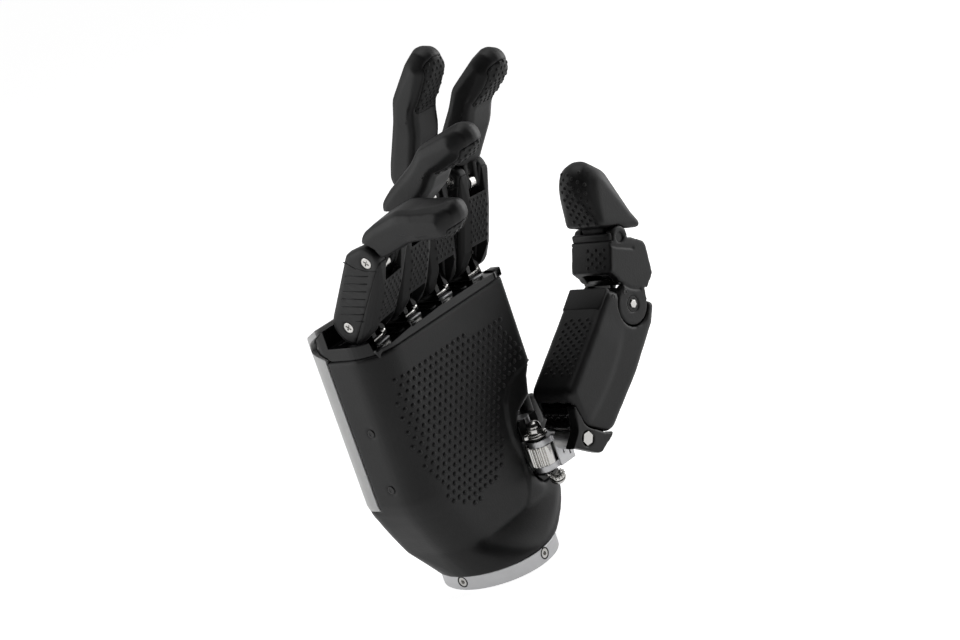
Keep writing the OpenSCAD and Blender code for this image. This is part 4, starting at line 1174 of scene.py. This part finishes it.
class HAND_OT_stage(Operator):
    """Adds the floor, the studio's lamps, its surroundings and the camera"""

    bl_idname = "hand.stage"
    bl_label = "Studio"

    def execute(self, context):
        scene = context.scene
        sizes = scene.hand_stage
        self.add_floor(sizes)
        self.add_world(scene)
        for name, at, power, size in (
                ("thumb_side_lamp", (0.74, -0.30, 0.20), sizes.side_power, (0.6, 0.7)),
                ("little_side_lamp", (-0.56, 0.60, 0.34), sizes.flank_power, (0.6, 0.9)),
                ("top_lamp", (0.12, -0.06, 0.98), sizes.top_power, (0.7, 0.7))):
            lamp = bpy.data.lights.new(name, "AREA")
            lamp.shape = "RECTANGLE"
            lamp.size, lamp.size_y = size
            lamp.energy = power
            stand = new_object(name, lamp)
            stand.location = at
            aim = Vector((0.01, 0.0, 0.1)) - Vector(at)
            stand.rotation_euler = aim.to_track_quat("-Z", "Y").to_euler()
        camera = bpy.data.cameras.new("camera")
        camera.lens = sizes.lens
        camera.sensor_width = 36.0
        camera.clip_start, camera.clip_end = 0.01, 50.0
        holder = new_object("camera", camera)
        axes = Matrix((CAMERA_LOOK.cross(CAMERA_UP), CAMERA_UP, -CAMERA_LOOK)).transposed()
        holder.matrix_world = Matrix.Translation(CAMERA_AT) @ axes.to_4x4()
        scene.camera = holder
        scene.view_settings.view_transform = "Standard"
        return {"FINISHED"}

    def add_floor(self, sizes):
        bm = bmesh.new()
        bmesh.ops.create_grid(bm, x_segments=2, y_segments=2, size=sizes.floor_size / 2,
                              matrix=Matrix.Translation((0, 0, -0.0003)))
        data = bpy.data.meshes.new("floor")
        bm.to_mesh(data)
        bm.free()
        material, tree, shader, vector = start_material("Pale Floor")
        tone = mixed_colour(tree, noise_node(tree, vector, 3.0, 2.0), (0.86, 0.86, 0.86),
                            (0.9, 0.9, 0.9))
        feed(tree, shader, Roughness=0.9, Specular_IOR_Level=0.1, Base_Color=tone,
             Emission_Color=(1, 1, 1, 1))
        path = tree.nodes.new("ShaderNodeLightPath")
        mirrored = math_node(tree, "MAXIMUM", path.outputs["Is Glossy Ray"],
                             path.outputs["Is Transmission Ray"])
        seen = math_node(tree, "MAXIMUM", path.outputs["Is Camera Ray"],
                         math_node(tree, "MULTIPLY", mirrored, 0.55))
        glow = tree.nodes.new("ShaderNodeEmission")
        feed(tree, glow, Strength=math_node(tree, "MULTIPLY", seen, 0.8))
        both = tree.nodes.new("ShaderNodeAddShader")
        output = [n for n in tree.nodes if n.type == "OUTPUT_MATERIAL"][0]
        tree.links.new(shader.outputs["BSDF"], both.inputs[0])
        tree.links.new(glow.outputs["Emission"], both.inputs[1])
        tree.links.new(both.outputs["Shader"], output.inputs["Surface"])
        data.materials.append(material)
        floor = new_object("floor", data)

    def add_world(self, scene):
        """White behind the hand, darker where the photographer stands."""
        world = bpy.data.worlds.new("studio")
        world.use_nodes = True
        scene.world = world
        tree = world.node_tree
        tree.nodes.clear()
        coords = tree.nodes.new("ShaderNodeTexCoord")
        dot = tree.nodes.new("ShaderNodeVectorMath")
        dot.operation = "DOT_PRODUCT"
        dot.inputs[1].default_value = (-0.70, -0.66, 0.26)
        tree.links.new(coords.outputs["Generated"], dot.inputs[0])
        room = range_node(tree, dot.outputs["Value"], -0.2, 0.45, 0.45, 0.012)
        path = tree.nodes.new("ShaderNodeLightPath")
        strength = tree.nodes.new("ShaderNodeMix")
        strength.data_type = "FLOAT"
        tree.links.new(path.outputs["Is Camera Ray"], strength.inputs[0])
        tree.links.new(room, strength.inputs[2])
        strength.inputs[3].default_value = 1.0
        back = tree.nodes.new("ShaderNodeBackground")
        feed(tree, back, Color=(1, 1, 1, 1), Strength=strength.outputs[0])
        output = tree.nodes.new("ShaderNodeOutputWorld")
        tree.links.new(back.outputs["Background"], output.inputs["Surface"])


class HAND_PT_dressing(Panel):
    """Lists the hand's pieces and sizes"""

    bl_idname = "HAND_PT_dressing"
    bl_label = "Robot Hand"
    bl_space_type = "VIEW_3D"
    bl_region_type = "UI"
    bl_category = "Hand"

    def draw(self, context):
        column = self.layout.column(align=True)
        for operator in OPERATORS:
            column.operator(operator.bl_idname)
        for group in ("hand_grips", "hand_colours", "hand_stage"):
            box = self.layout.box()
            held = getattr(context.scene, group)
            for name in held.__annotations__:
                box.prop(held, name)


OPERATORS = (HAND_OT_stage, HAND_OT_finishes, HAND_OT_palm_skin, HAND_OT_soft_tips,
             HAND_OT_thumb_trim, HAND_OT_thumb_screws, HAND_OT_finger_flanks, HAND_OT_coupler_pins,
             HAND_OT_side_screws, HAND_OT_palm_studs, HAND_OT_finger_studs,
             HAND_OT_tip_studs, HAND_OT_thumb_studs, HAND_OT_knuckle_plates,
             HAND_OT_thumb_drive, HAND_OT_thumb_throat, HAND_OT_flange_rings)
CLASSES = (HandGripSizes, HandColours, HandStageSizes, *OPERATORS, HAND_PT_dressing)


def register():
    for item in CLASSES:
        bpy.utils.register_class(item)
    bpy.types.Scene.hand_grips = PointerProperty(type=HandGripSizes)
    bpy.types.Scene.hand_colours = PointerProperty(type=HandColours)
    bpy.types.Scene.hand_stage = PointerProperty(type=HandStageSizes)


def unregister():
    del bpy.types.Scene.hand_stage
    del bpy.types.Scene.hand_colours
    del bpy.types.Scene.hand_grips
    for item in reversed(CLASSES):
        bpy.utils.unregister_class(item)


def main():
    register()
    for operator in OPERATORS:
        family, name = operator.bl_idname.split(".")
        getattr(getattr(bpy.ops, family), name)()


if __name__ == "__main__":
    main()
